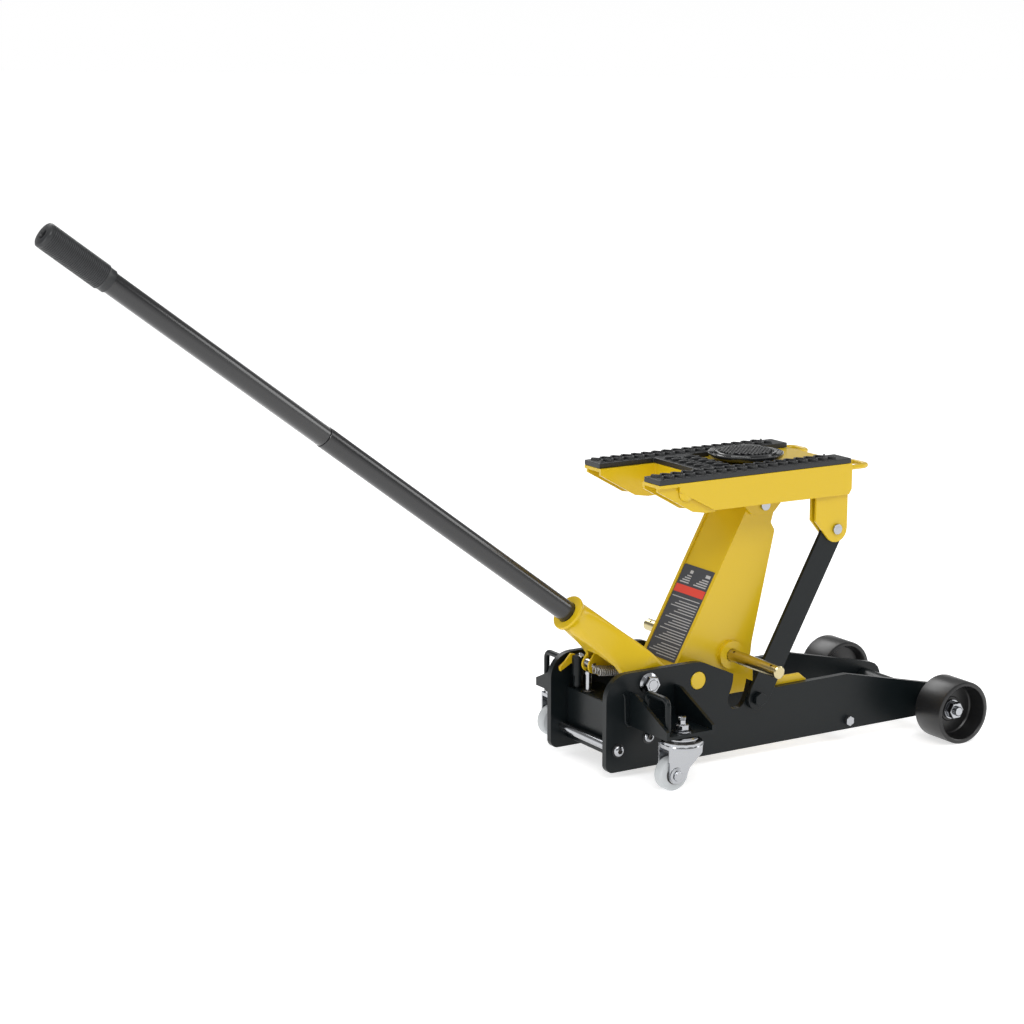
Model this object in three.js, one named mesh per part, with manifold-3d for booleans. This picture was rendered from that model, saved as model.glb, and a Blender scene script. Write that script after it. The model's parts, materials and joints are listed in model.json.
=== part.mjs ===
// Hydraulic floor jack with a lifting platform for motorcycles and quads.
// Millimetres. +X points to the front wheels, +Y to the left, +Z up.
// The jack is drawn raised, with x = 0 at the rear edge of the side plates, y = 0 on its centre
// plane and z = 0 under the casters; the finished group is then leaned onto its front wheels
// and moved to its bottom centre.
import * as THREE from 'three';
import { mergeVertices } from 'three/addons/utils/BufferGeometryUtils.js';
import Module from 'manifold-3d';

const wasm = await Module();
wasm.setup();

// ---------------------------------------------------------------- driving dimensions
const FIT = 0.3;                  // gap between touching pieces
const RUN = 0.5;                  // radial play of a turning pin

const PLATE_OUTER = 64.5;         // side plates, outer face to the centre plane
const PLATE_THICK = 8;
const PLATE_BOTTOM = 9;
const PLATE_TOP = 127;
const PLATE_CORNER = 30;          // rear top corner
const PLATE_FOOT_CORNER = 10;
const PEAK = { x: 357, z: 80 };   // bend in the front top edge
const VALLEY = { x: 240, z: 79 };
const SHOULDER = { x: 133, z: 127 };

const ARM_PIVOT = { x: 130.8, z: 104 };
const ARM_LENGTH = 226.5;         // pivot to platform pivot
const ARM_ANGLE = THREE.MathUtils.degToRad(60.9);
const ARM_LOWER = THREE.MathUtils.degToRad(44);
const ARM_HALF = 37;
const ARM_WALL = 5;
const ARM_REAR = 18;              // rear edge of the cheeks, off the line of pivots
const ARM_BACK = 16.5;            // rear face of the wall between the cheeks
const ARM_SHAFT_R = 10.6;
const ARM_SHAFT_PLAY = 0.9;
const LOCK_PIN_R = 7.7;
const LOCK_PIN_HALF = PLATE_OUTER + 72.8;
const LOCK_PIN_AT = { a: 47, b: -48.8 };
const LEVER_R = 45;               // lower lever, pivot to ram pin
const RAM_PIN_R = 6;

const PLATFORM_REAR = 61.5;
const PLATFORM_FRONT = 344;
const PLATFORM_TOP = 349;
const PLATFORM_SHEET = 4;
const SKIRT_BOTTOM = 312.5;
const NOTCH_FRONT = 140;
const TONGUE_INNER = 47;
const MAT_THICK = 9;
const MAT_CROSS_FRONT = 192;
const TOP_PIN_R = 5;

const LINK_FOOT = { x: 215.5, z: 71 };
const LINK_THICK = 5;
const LINK_HALF = 16;
const LINK_FOOT_R = 14.2;
const LINK_PIN_R = 5;
const EAR_SHEET = 3.5;
const EAR_TIP_R = 16.5;
const LINK_INNER = PLATE_OUTER + 1.5;
const LINK_OUTER = LINK_INNER + LINK_THICK;
const EAR_OUTER = LINK_OUTER + RUN + EAR_SHEET;
const PLATFORM_HALF = EAR_OUTER + 5;

const FRONT_AXLE = { x: 482.9, z: 29, r: 6 };
const FRONT_WHEEL_R = 39.5;
const FRONT_WHEEL_OUTER = PLATE_OUTER + 74.5;
const FRONT_WHEEL_WIDE = 46;
const PLATE_NOSE = { x: 490.9, r: 20 };

const SWIVEL = { x: 63, y: PLATE_OUTER + 63.3 };
const CASTER_TRAIL = 14.5;
const CASTER_WIDE = 16;
const SHELF_TOP = 68;             // caster bracket, top of its shelf
const SHELF_SHEET = 4;
const CASTER_R = (SHELF_TOP - SHELF_SHEET - 24) / 2;
const SHELF_REAR = 32;
const SHELF_FRONT = 100;
const SHELF_OUTER = PLATE_OUTER + 77.5;
const GUSSET_TOP = 104;
const LOOP = { x: 41, inner: PLATE_OUTER + 23.5, outer: PLATE_OUTER + 66.5, top: 112, bar: 3.6 };

const YOKE_PIVOT = { x: 58.8, z: 111.3 };
const HANDLE_ANGLE = THREE.MathUtils.degToRad(36.94);
const HANDLE_OFFSET = 21.7;       // handle axis above the yoke pivot
const SOCKET_LIP = 107;           // distances along the handle from the yoke pivot
const SOCKET_FLOOR = 40;
const TUBE_JOINT = 502;
const GRIP_START = 808;
const GRIP_END = 895;
const LOWER_TUBE_R = 12.7;
const UPPER_TUBE_R = 12;
const TUBE_WALL = 1.9;
const SPIGOT = 40;
const GRIP_R = 14.5;
const SOCKET_R = 19;
const YOKE_HALF = PLATE_OUTER - 15.5;
const YOKE_BOLT_R = 6;
const ROLLER = { x: 36.1, z: 117.5, r: 7, half: 4.2 };

const CROSS_PLATE = { rear: 23.2, thick: 3, low: 20, high: 84 };
const BLOCK = { rear: 26.5, front: 68, half: PLATE_OUTER - 10.5, low: 24, high: 84 };
const PUMP = { x: 33.5, y: 25, r: 5.5, top: 86, floor: 50 };
const PLUNGER_R = 3.8;
const ROLLER_PIN_R = 3;
const PLUNGER_GAP = 1.4;          // roller to plunger head, at rest
const RAM = { z: 62.4, rear: 35, front: 94, r: 18.5, rodR: 9.5, rodRear: 78, floor: 42 };
const SADDLE = { x: 243, r: 46, top: 363, stem: 12 };

// ---------------------------------------------------------------- finishes
const FINISHES = {
  yellow: { color: 0xd4b21e, roughness: 0.38, metalness: 0.0 },
  black: { color: 0x232628, roughness: 0.32, metalness: 0.0 },
  zinc: { color: 0xc4c7ca, roughness: 0.3, metalness: 1.0 },
  yellowZinc: { color: 0xcdbb78, roughness: 0.32, metalness: 1.0 },
  rubber: { color: 0x2a2c2e, roughness: 0.8, metalness: 0.0 },
  wheel: { color: 0x1b1c1d, roughness: 0.5, metalness: 0.0 },
  castIron: { color: 0x4a4c4f, roughness: 0.6, metalness: 0.6 },
  nylon: { color: 0xc9ccce, roughness: 0.45, metalness: 0.0 },
  label: { color: 0x3c3e42, roughness: 0.45, metalness: 0.0 },
};

// Sides of a round, by size.
const SMALL_ROUND = 12;
const ROUND = 16;
const LARGE_ROUND = 24;
const ARC_STEPS = 4;

const jack = new THREE.Group();

function addPart(name, geometry, finish) {
  const mesh = new THREE.Mesh(welded(geometry), new THREE.MeshStandardMaterial(FINISHES[finish]));
  mesh.name = name;
  jack.add(mesh);
}

// ---------------------------------------------------------------- solids
// Merges shared vertices, drops collapsed triangles and turns the faces outwards.
function welded(geometry) {
  const bare = geometry.clone();
  bare.deleteAttribute('normal');
  bare.deleteAttribute('uv');
  const merged = mergeVertices(bare, 1e-4);
  const at = merged.getAttribute('position');
  const kept = [];
  let volume = 0;
  const p = [new THREE.Vector3(), new THREE.Vector3(), new THREE.Vector3()];
  for (let i = 0; i < merged.index.count; i += 3) {
    const corners = [0, 1, 2].map((k) => merged.index.getX(i + k));
    if (new Set(corners).size < 3) continue;
    corners.forEach((c, k) => p[k].fromBufferAttribute(at, c));
    volume += p[0].dot(p[1].clone().cross(p[2]));
    kept.push(corners);
  }
  const triangles = kept.flatMap((t) => (volume < 0 ? [t[0], t[2], t[1]] : t));
  const solid = new THREE.BufferGeometry();
  solid.setAttribute('position', at.clone());
  solid.setIndex(triangles);
  solid.computeVertexNormals();
  return solid;
}

function toSolid(geometry) {
  const clean = welded(geometry);
  return new wasm.Manifold(new wasm.Mesh({
    numProp: 3,
    vertProperties: new Float32Array(clean.getAttribute('position').array),
    triVerts: new Uint32Array(clean.index.array),
  }));
}

function fromSolid(solid) {
  const mesh = solid.getMesh();
  const geometry = new THREE.BufferGeometry();
  geometry.setAttribute('position', new THREE.BufferAttribute(Float32Array.from(mesh.vertProperties), 3));
  geometry.setIndex(Array.from(mesh.triVerts));
  return geometry;
}

function join(...pieces) {
  return fromSolid(pieces.map(toSolid).reduce((whole, piece) => whole.add(piece)));
}

function cut(base, ...tools) {
  return fromSolid(tools.map(toSolid).reduce((whole, tool) => whole.subtract(tool), toSolid(base)));
}

// Outline in X and Z, extruded from y = low to y = high.
function slabY(outline, low, high, curveSegments = ARC_STEPS) {
  const geometry = new THREE.ExtrudeGeometry(outline, {
    depth: high - low, bevelEnabled: false, curveSegments,
  });
  return geometry.rotateX(Math.PI / 2).translate(0, high, 0);
}

// Outline in X and Y, extruded from z = low to z = high.
function slabZ(outline, low, high, curveSegments = ARC_STEPS) {
  const geometry = new THREE.ExtrudeGeometry(outline, {
    depth: high - low, bevelEnabled: false, curveSegments,
  });
  return geometry.translate(0, 0, low);
}

// Outline in Y and Z, extruded from x = low to x = high.
function slabX(outline, low, high, curveSegments = ARC_STEPS) {
  const geometry = new THREE.ExtrudeGeometry(outline, {
    depth: high - low, bevelEnabled: false, curveSegments,
  });
  return geometry.rotateX(Math.PI / 2).rotateZ(Math.PI / 2).translate(low, 0, 0);
}

function box(x0, x1, y0, y1, z0, z1) {
  return new THREE.BoxGeometry(x1 - x0, y1 - y0, z1 - z0)
    .translate((x0 + x1) / 2, (y0 + y1) / 2, (z0 + z1) / 2);
}

function rodY(radius, low, high, at, segments = ROUND) {
  return new THREE.CylinderGeometry(radius, radius, high - low, segments)
    .translate(at.x, (low + high) / 2, at.z);
}

function rodX(radius, low, high, at, segments = ROUND) {
  return new THREE.CylinderGeometry(radius, radius, high - low, segments)
    .rotateZ(Math.PI / 2).translate((low + high) / 2, at.y ?? 0, at.z);
}

function rodZ(radius, low, high, at, segments = ROUND) {
  return new THREE.CylinderGeometry(radius, radius, high - low, segments)
    .rotateX(Math.PI / 2).translate(at.x, at.y ?? 0, (low + high) / 2);
}

// Turned piece: [radius, distance] pairs about the Y axis.
function turned(profile, segments = ROUND) {
  return new THREE.LatheGeometry(profile.map(([r, d]) => new THREE.Vector2(r, d)), segments);
}

function tubeProfile(inner, outer, low, high) {
  return [[inner, low], [outer, low], [outer, high], [inner, high], [inner, low]];
}

function polygon(points) {
  return new THREE.Shape(points.map(([x, y]) => new THREE.Vector2(x, y)));
}

// Polygon with rounded corners: each point is [x, y, radius].
function rounded(points) {
  const outline = new THREE.Shape();
  const count = points.length;
  points.forEach(([x, y, radius = 0], i) => {
    const corner = new THREE.Vector2(x, y);
    const before = new THREE.Vector2(...points[(i + count - 1) % count].slice(0, 2)).sub(corner);
    const after = new THREE.Vector2(...points[(i + 1) % count].slice(0, 2)).sub(corner);
    const half = Math.acos(before.clone().normalize().dot(after.clone().normalize())) / 2;
    const reach = Math.min(radius / Math.tan(half), before.length() / 2, after.length() / 2);
    const start = corner.clone().add(before.setLength(reach));
    const end = corner.clone().add(after.setLength(reach));
    if (i === 0) outline.moveTo(start.x, start.y);
    else outline.lineTo(start.x, start.y);
    if (radius > 0) outline.quadraticCurveTo(corner.x, corner.y, end.x, end.y);
  });
  outline.closePath();
  return outline;
}

function hexagonY(acrossFlats, low, high, at) {
  return rodY(acrossFlats / Math.sqrt(3), low, high, at, 6);
}

// Mirrors a piece to the side given by sign (-1 is the right side, +1 the left).
function toSide(geometry, sign) {
  return sign > 0 ? geometry : geometry.scale(1, -1, 1);
}

const SIDES = [['right', -1], ['left', 1]];

// ---------------------------------------------------------------- linkage points
const PLATE_INNER = PLATE_OUTER - PLATE_THICK;
const ARM_VECTOR = { x: ARM_LENGTH * Math.cos(ARM_ANGLE), z: ARM_LENGTH * Math.sin(ARM_ANGLE) };
const TOP_PIVOT = { x: ARM_PIVOT.x + ARM_VECTOR.x, z: ARM_PIVOT.z + ARM_VECTOR.z };
const LINK_HEAD = { x: LINK_FOOT.x + ARM_VECTOR.x, z: LINK_FOOT.z + ARM_VECTOR.z };

// The platform's two pivots as it is drawn, before it is set on top of the arm.
const DECK_PIVOT = { x: 240.955, z: 301.9094 };
const DECK_LINK = {
  x: DECK_PIVOT.x + LINK_FOOT.x - ARM_PIVOT.x,
  z: DECK_PIVOT.z + LINK_FOOT.z - ARM_PIVOT.z,
};

function ontoArmHead(geometry) {
  return geometry.translate(TOP_PIVOT.x - DECK_PIVOT.x, 0, TOP_PIVOT.z - DECK_PIVOT.z);
}

// A point of the arm: a runs along it from its pivot, b square to it towards its rear face.
function armPoint(a, b) {
  return {
    x: ARM_PIVOT.x + a * Math.cos(ARM_ANGLE) - b * Math.sin(ARM_ANGLE),
    z: ARM_PIVOT.z + a * Math.sin(ARM_ANGLE) + b * Math.cos(ARM_ANGLE),
  };
}

const LOCK_PIN = armPoint(LOCK_PIN_AT.a, LOCK_PIN_AT.b);
// The lever hangs below the pivot and swings equally to both sides of straight down.
const RAM_PIN = {
  x: ARM_PIVOT.x + LEVER_R * Math.sin(ARM_LOWER / 2),
  z: ARM_PIVOT.z - LEVER_R * Math.cos(ARM_LOWER / 2),
};

// Turns a piece drawn along +X from the origin onto the line of the arm.
function ontoArm(geometry) {
  return geometry.rotateY(-ARM_ANGLE).translate(ARM_PIVOT.x, 0, ARM_PIVOT.z);
}

// Turns a piece drawn with +X up the handle and +Z square to it onto the handle.
function ontoHandle(geometry) {
  return geometry.scale(-1, 1, 1).rotateY(HANDLE_ANGLE).translate(YOKE_PIVOT.x, 0, YOKE_PIVOT.z);
}

// ---------------------------------------------------------------- frame
// Slot in the side plates that the lock pin drops through as the arm comes down.
function lockPinSlot() {
  const swing = Math.hypot(LOCK_PIN.x - ARM_PIVOT.x, LOCK_PIN.z - ARM_PIVOT.z);
  const inner = swing - 16;
  const outer = swing + LOCK_PIN_R + 2.2;
  const floor = THREE.MathUtils.degToRad(-28);
  const slot = new THREE.Shape();
  slot.absarc(ARM_PIVOT.x, ARM_PIVOT.z, outer, floor, 0.8, false);
  slot.absarc(ARM_PIVOT.x, ARM_PIVOT.z, inner, 0.8, floor, true);
  slot.closePath();
  const middle = (inner + outer) / 2;
  const end = {
    x: ARM_PIVOT.x + middle * Math.cos(floor),
    z: ARM_PIVOT.z + middle * Math.sin(floor),
  };
  const reach = PLATE_OUTER + 1;
  return join(slabY(slot, 0, reach), rodY((outer - inner) / 2, 0, reach, end));
}

function sidePlate() {
  const outline = new THREE.Shape();
  const nose = { z: PLATE_BOTTOM + PLATE_NOSE.r, top: THREE.MathUtils.degToRad(77) };
  outline.moveTo(PLATE_FOOT_CORNER, PLATE_BOTTOM);
  outline.lineTo(PLATE_NOSE.x, PLATE_BOTTOM);
  outline.absarc(PLATE_NOSE.x, nose.z, PLATE_NOSE.r, -Math.PI / 2, nose.top, false);
  outline.lineTo(PEAK.x, PEAK.z);
  outline.lineTo(VALLEY.x, VALLEY.z);
  outline.lineTo(SHOULDER.x + 10, SHOULDER.z - 4);
  outline.quadraticCurveTo(SHOULDER.x + 2, SHOULDER.z, SHOULDER.x - 8, SHOULDER.z);
  outline.lineTo(PLATE_CORNER, PLATE_TOP);
  outline.absarc(PLATE_CORNER, PLATE_TOP - PLATE_CORNER, PLATE_CORNER, Math.PI / 2, Math.PI, false);
  outline.lineTo(0, PLATE_BOTTOM + PLATE_FOOT_CORNER);
  outline.absarc(
    PLATE_FOOT_CORNER, PLATE_BOTTOM + PLATE_FOOT_CORNER, PLATE_FOOT_CORNER, Math.PI, 1.5 * Math.PI, false,
  );
  const plate = slabY(outline, PLATE_INNER, PLATE_OUTER);
  const through = [PLATE_INNER - 1, PLATE_OUTER + 1];
  return cut(
    plate,
    lockPinSlot(),
    rodY(ARM_SHAFT_R + ARM_SHAFT_PLAY, ...through, ARM_PIVOT),
    rodY(YOKE_BOLT_R + FIT, ...through, YOKE_PIVOT),
    rodY(TIE_ROD.r + FIT, ...through, TIE_ROD),
    rodY(FRONT_TIE.r + FIT, ...through, FRONT_TIE),
    rodY(BLOCK_SCREW.r + FIT, ...through, BLOCK_SCREW),
    rodY(FRONT_AXLE.r + FIT, ...through, FRONT_AXLE),
    rodY(LINK_PIN_R + RUN, ...through, LINK_FOOT),
  );
}

const TIE_ROD = { x: 17, z: 35.2, r: 4, tube: 5.9 };
const FRONT_TIE = { x: 359.5, z: 20.5, r: 4 };
const BLOCK_SCREW = { x: 60, z: 46, r: 4 };

// Button-head screw seen on the outside of a side plate, with its shank through the plate.
function plateScrew(at, headR, shankEnd) {
  const head = turned([
    [0, PLATE_OUTER + FIT], [headR, PLATE_OUTER + FIT], [headR, PLATE_OUTER + 2.4],
    [headR * 0.75, PLATE_OUTER + 4.4], [0, PLATE_OUTER + 5],
  ], SMALL_ROUND).translate(at.x, 0, at.z);
  return join(head, rodY(at.r, shankEnd, PLATE_OUTER + 1, at, SMALL_ROUND));
}

function rearCrossPlate() {
  const { rear, thick, low, high } = CROSS_PLATE;
  return box(rear, rear + thick, -PLATE_INNER + FIT, PLATE_INNER - FIT, low, high);
}

function frontTie() {
  const washer = FRONT_TIE.r + 5;
  return join(
    rodY(FRONT_TIE.r, -PLATE_OUTER - 5, PLATE_OUTER + 5, FRONT_TIE, SMALL_ROUND),
    rodY(washer, -PLATE_INNER + FIT, PLATE_INNER - FIT, FRONT_TIE, ROUND),
    hexagonY(11, PLATE_OUTER + FIT, PLATE_OUTER + 6.5, FRONT_TIE),
    hexagonY(11, -PLATE_OUTER - 6.5, -PLATE_OUTER - FIT, FRONT_TIE),
  );
}

function frontAxle() {
  return join(
    rodY(FRONT_AXLE.r, -FRONT_WHEEL_OUTER + 8, FRONT_WHEEL_OUTER - 8, FRONT_AXLE),
    rodY(13, -PLATE_INNER + FIT, PLATE_INNER - FIT, FRONT_AXLE),
  );
}

function axleSpacer() {
  const inner = FRONT_WHEEL_OUTER - FRONT_WHEEL_WIDE;
  return turned(tubeProfile(FRONT_AXLE.r + FIT, 13, PLATE_OUTER + FIT, inner - RUN))
    .translate(FRONT_AXLE.x, 0, FRONT_AXLE.z);
}

function frontWheel() {
  const out = FRONT_WHEEL_OUTER;
  const back = out - FRONT_WHEEL_WIDE;
  const R = FRONT_WHEEL_R;
  const bore = FRONT_AXLE.r + RUN;
  return turned([
    [bore, back], [13, back], [13, back + 12], [R - 8, back + 12], [R - 5, back], [R - 2.5, back],
    [R, back + 2.5], [R, out - 2.5], [R - 2.5, out], [R - 5, out], [R - 8, out - 24],
    [bore, out - 24], [bore, back],
  ], LARGE_ROUND).translate(FRONT_AXLE.x, 0, FRONT_AXLE.z);
}

function axleNut() {
  const face = FRONT_WHEEL_OUTER - 24 + FIT;
  const nut = join(
    hexagonY(19, face + 2.5, face + 13, FRONT_AXLE),
    rodY(12, face, face + 2.5, FRONT_AXLE, ROUND),
  );
  return cut(nut, rodY(FRONT_AXLE.r + FIT, face - 1, face + 20, FRONT_AXLE));
}

// Plate inside each side plate that keeps the arm central as it comes down.
function armGuide() {
  const outline = polygon([[226, 40], [300, 40], [300, 80], [289, 89], [236, 89], [226, 79]]);
  return slabY(outline, PLATE_INNER - FIT - 4, PLATE_INNER - FIT);
}

// ---------------------------------------------------------------- casters
function casterBracket() {
  const inner = PLATE_OUTER + FIT;
  const gusset = polygon([
    [inner, SHELF_TOP - SHELF_SHEET], [SHELF_OUTER, SHELF_TOP - SHELF_SHEET],
    [SHELF_OUTER, SHELF_TOP + 6], [inner + 12, GUSSET_TOP], [inner, GUSSET_TOP],
  ]);
  const shelf = box(SHELF_REAR, SHELF_FRONT, inner, SHELF_OUTER, SHELF_TOP - SHELF_SHEET, SHELF_TOP);
  const back = box(SHELF_REAR, SHELF_FRONT, inner, inner + 3, SHELF_TOP - SHELF_SHEET, SHELF_TOP + 10);
  const bracket = join(
    shelf,
    back,
    slabX(gusset, SHELF_REAR, SHELF_REAR + SHELF_SHEET),
    slabX(gusset, SHELF_FRONT - SHELF_SHEET, SHELF_FRONT),
  );
  const bolt = { x: SWIVEL.x, y: SWIVEL.y };
  return cut(bracket, rodZ(5 + RUN, SHELF_TOP - 10, SHELF_TOP + 5, bolt));
}

// Round bar bent into an upside-down U that stands on the shelf of the caster bracket.
function tieDownLoop() {
  const foot = SHELF_TOP + FIT;
  const near = LOOP.inner;
  const far = LOOP.outer;
  const top = LOOP.top - LOOP.bar;
  const bend = 9;
  const path = new THREE.CurvePath();
  const at = (y, z) => new THREE.Vector3(LOOP.x, y, z);
  path.add(new THREE.LineCurve3(at(near, foot), at(near, top - bend)));
  path.add(new THREE.QuadraticBezierCurve3(at(near, top - bend), at(near, top), at(near + bend, top)));
  path.add(new THREE.LineCurve3(at(near + bend, top), at(far - bend, top)));
  path.add(new THREE.QuadraticBezierCurve3(at(far - bend, top), at(far, top), at(far, top - bend)));
  path.add(new THREE.LineCurve3(at(far, top - bend), at(far, foot)));
  return sweptBar(path, LOOP.bar);
}

// Round bar swept along a path that lies in one plane.
function sweptBar(path, radius) {
  const section = new THREE.Shape();
  section.absarc(0, 0, radius, 0, 2 * Math.PI, false);
  return new THREE.ExtrudeGeometry(section, {
    steps: ROUND, extrudePath: path, bevelEnabled: false, curveSegments: ARC_STEPS,
  });
}

function casterFork() {
  const top = SHELF_TOP - SHELF_SHEET - FIT;
  const wheelX = SWIVEL.x - CASTER_TRAIL;
  const cheekIn = CASTER_WIDE / 2 + 1.5;
  const cheekOut = cheekIn + 2.5;
  const reach = 10;
  const cheek = rounded([
    [wheelX - reach, CASTER_R - reach, 10], [wheelX + reach, CASTER_R - reach, 10],
    [SWIVEL.x + 4, CASTER_R + 7, 4], [SWIVEL.x + 21, CASTER_R + 22, 4],
    [SWIVEL.x + 22, top - 8, 0], [wheelX - reach, top - 8, 0],
  ]);
  const crown = turned([
    [0, 0], [15, 0], [24, 3], [24, 8], [18, 8], [18, 11], [11, 11], [11, 13.7], [5, 13.7],
    [5, 18], [5, 32], [0, 32],
  ]).rotateX(Math.PI / 2).translate(SWIVEL.x, SWIVEL.y, top - 13.7);
  const fork = join(
    crown,
    slabY(cheek, SWIVEL.y + cheekIn, SWIVEL.y + cheekOut),
    slabY(cheek, SWIVEL.y - cheekOut, SWIVEL.y - cheekIn),
    box(wheelX - reach, SWIVEL.x + 22, SWIVEL.y - cheekOut, SWIVEL.y + cheekOut, top - 13, top - 9),
  );
  const axle = rodY(3 + FIT, SWIVEL.y - 20, SWIVEL.y + 20, { x: wheelX, z: CASTER_R });
  return cut(fork, axle);
}

function casterWheel() {
  const half = CASTER_WIDE / 2;
  const R = CASTER_R;
  const bore = 3 + RUN;
  return turned([
    [bore, -half - 0.8], [6, -half - 0.8], [7, -half], [R - 3, -half], [R, -half + 3],
    [R, half - 3], [R - 3, half], [7, half], [6, half + 0.8], [bore, half + 0.8], [bore, -half - 0.8],
  ]).translate(SWIVEL.x - CASTER_TRAIL, SWIVEL.y, R);
}

function casterAxle() {
  const at = { x: SWIVEL.x - CASTER_TRAIL, z: CASTER_R };
  const outer = CASTER_WIDE / 2 + 1.5 + 2.5 + FIT;
  return join(
    rodY(3, SWIVEL.y - outer - 4, SWIVEL.y + outer + 4, at, SMALL_ROUND),
    hexagonY(11, SWIVEL.y + outer, SWIVEL.y + outer + 4, at),
    hexagonY(11, SWIVEL.y - outer - 4, SWIVEL.y - outer, at),
  );
}

// ---------------------------------------------------------------- lift arm
function armCheekOutline() {
  const lever = {
    a: (RAM_PIN.x - ARM_PIVOT.x) * Math.cos(ARM_ANGLE) + (RAM_PIN.z - ARM_PIVOT.z) * Math.sin(ARM_ANGLE),
    b: -(RAM_PIN.x - ARM_PIVOT.x) * Math.sin(ARM_ANGLE) + (RAM_PIN.z - ARM_PIVOT.z) * Math.cos(ARM_ANGLE),
  };
  const head = 17;
  return rounded([
    [-18, ARM_REAR, 14],
    [ARM_LENGTH + head, ARM_REAR, 16],
    [ARM_LENGTH + head, -head, 16],
    [ARM_LENGTH - 14, -24, 2],
    [ARM_LENGTH - 20, -34, 4],
    [74.5, -72, 60],
    [36, -88, 3],
    [20, -43, 4],
    [lever.a + 12, lever.b - 16, 20],
    [lever.a - 13, lever.b - 12, 12],
    [lever.a - 13, lever.b + 14, 12],
  ]);
}

function liftArm() {
  const outline = armCheekOutline();
  const wallLow = ARM_HALF - ARM_WALL;
  const rearWall = box(-2, ARM_LENGTH + 4, -ARM_HALF, ARM_HALF, ARM_BACK - ARM_WALL, ARM_BACK);
  const lockPinRing = (low, high) => rodY(17.5, low, high, LOCK_PIN);
  const shell = join(
    ontoArm(slabY(outline, wallLow, ARM_HALF)),
    ontoArm(slabY(outline, -ARM_HALF, -wallLow)),
    ontoArm(rearWall),
    rodY(ARM_SHAFT_R + 5, -ARM_HALF, ARM_HALF, ARM_PIVOT),
    lockPinRing(ARM_HALF - 1, ARM_HALF + 6),
    lockPinRing(-ARM_HALF - 6, -ARM_HALF + 1),
  );
  const across = [-ARM_HALF - 10, ARM_HALF + 10];
  return cut(
    shell,
    rodY(ARM_SHAFT_R + FIT, ...across, ARM_PIVOT),
    rodY(LOCK_PIN_R + RUN, ...across, LOCK_PIN, SMALL_ROUND),
    rodY(TOP_PIN_R + RUN, ...across, TOP_PIVOT, SMALL_ROUND),
    rodY(RAM_PIN_R + FIT, ...across, RAM_PIN, SMALL_ROUND),
  );
}

function lockPin() {
  const chamfer = 1;
  const end = LOCK_PIN_HALF;
  const r = LOCK_PIN_R;
  return turned([
    [0, -end], [r - chamfer, -end], [r, -end + chamfer], [r, end - chamfer], [r - chamfer, end], [0, end],
  ]).translate(LOCK_PIN.x, 0, LOCK_PIN.z);
}

function dataLabel() {
  const label = rounded([[8, -31, 2], [127, -31, 2], [127, 31, 2], [8, 31, 2]]);
  return ontoArm(slabZ(label, ARM_BACK + FIT, ARM_BACK + FIT + 0.6, 3));
}

// ---------------------------------------------------------------- hydraulics
function hydraulicBlock() {
  const body = box(BLOCK.rear, BLOCK.front, -BLOCK.half, BLOCK.half, BLOCK.low, BLOCK.high);
  return cut(
    body,
    rodZ(PUMP.r + FIT, PUMP.floor - FIT, BLOCK.high + 1, PUMP),
    rodX(RAM.r + FIT, RAM.rear - FIT, BLOCK.front + 1, { z: RAM.z }),
    rodZ(RELEASE.r + RUN, RELEASE.foot - RUN, BLOCK.high + 1, RELEASE),
    rodY(BLOCK_SCREW.r + FIT, BLOCK.half - 15, BLOCK.half + 1, BLOCK_SCREW, SMALL_ROUND),
    rodY(BLOCK_SCREW.r + FIT, -BLOCK.half - 1, -BLOCK.half + 15, BLOCK_SCREW, SMALL_ROUND),
  );
}

function ramCylinder() {
  return turned([
    [0, RAM.rear], [RAM.r, RAM.rear], [RAM.r, RAM.front - 3], [RAM.r - 3, RAM.front],
    [RAM.rodR + FIT, RAM.front], [RAM.rodR + FIT, RAM.floor], [0, RAM.floor],
  ]).rotateZ(-Math.PI / 2).translate(0, 0, RAM.z);
}

// Ram rod with a forked head; the arm's ram pin rides in the head's upright slot.
function ramRod() {
  const head = box(RAM_PIN.x - 14, RAM_PIN.x + 14, -13, 13, RAM.z - 18, RAM.z + 17);
  const slot = rounded([
    [RAM_PIN.x - RAM_PIN_R - 0.7, RAM.z - 12, 4], [RAM_PIN.x + RAM_PIN_R + 0.7, RAM.z - 12, 4],
    [RAM_PIN.x + RAM_PIN_R + 0.7, RAM.z + 9, 4], [RAM_PIN.x - RAM_PIN_R - 0.7, RAM.z + 9, 4],
  ]);
  return cut(
    join(rodX(RAM.rodR, RAM.rodRear, RAM_PIN.x - 10, { z: RAM.z }), head),
    slabY(slot, -20, 20),
  );
}

function ramPin() {
  return rodY(RAM_PIN_R, -ARM_HALF - 1, ARM_HALF + 1, RAM_PIN, SMALL_ROUND);
}

const PLUNGER_TOP = ROLLER.z - ROLLER.r - PLUNGER_GAP;
const RELEASE = { x: 32, y: 46.5, r: 4, foot: 60, top: 120 };

function pumpBody() {
  return turned([
    [PLUNGER_R + FIT, PUMP.floor], [PUMP.r, PUMP.floor], [PUMP.r, BLOCK.high + FIT],
    [PUMP.r + 2, BLOCK.high + FIT], [PUMP.r + 2, PUMP.top - 1], [PUMP.r + 1, PUMP.top],
    [PLUNGER_R + FIT, PUMP.top], [PLUNGER_R + FIT, PUMP.floor],
  ]).rotateX(Math.PI / 2).translate(PUMP.x, PUMP.y, 0);
}

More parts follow.
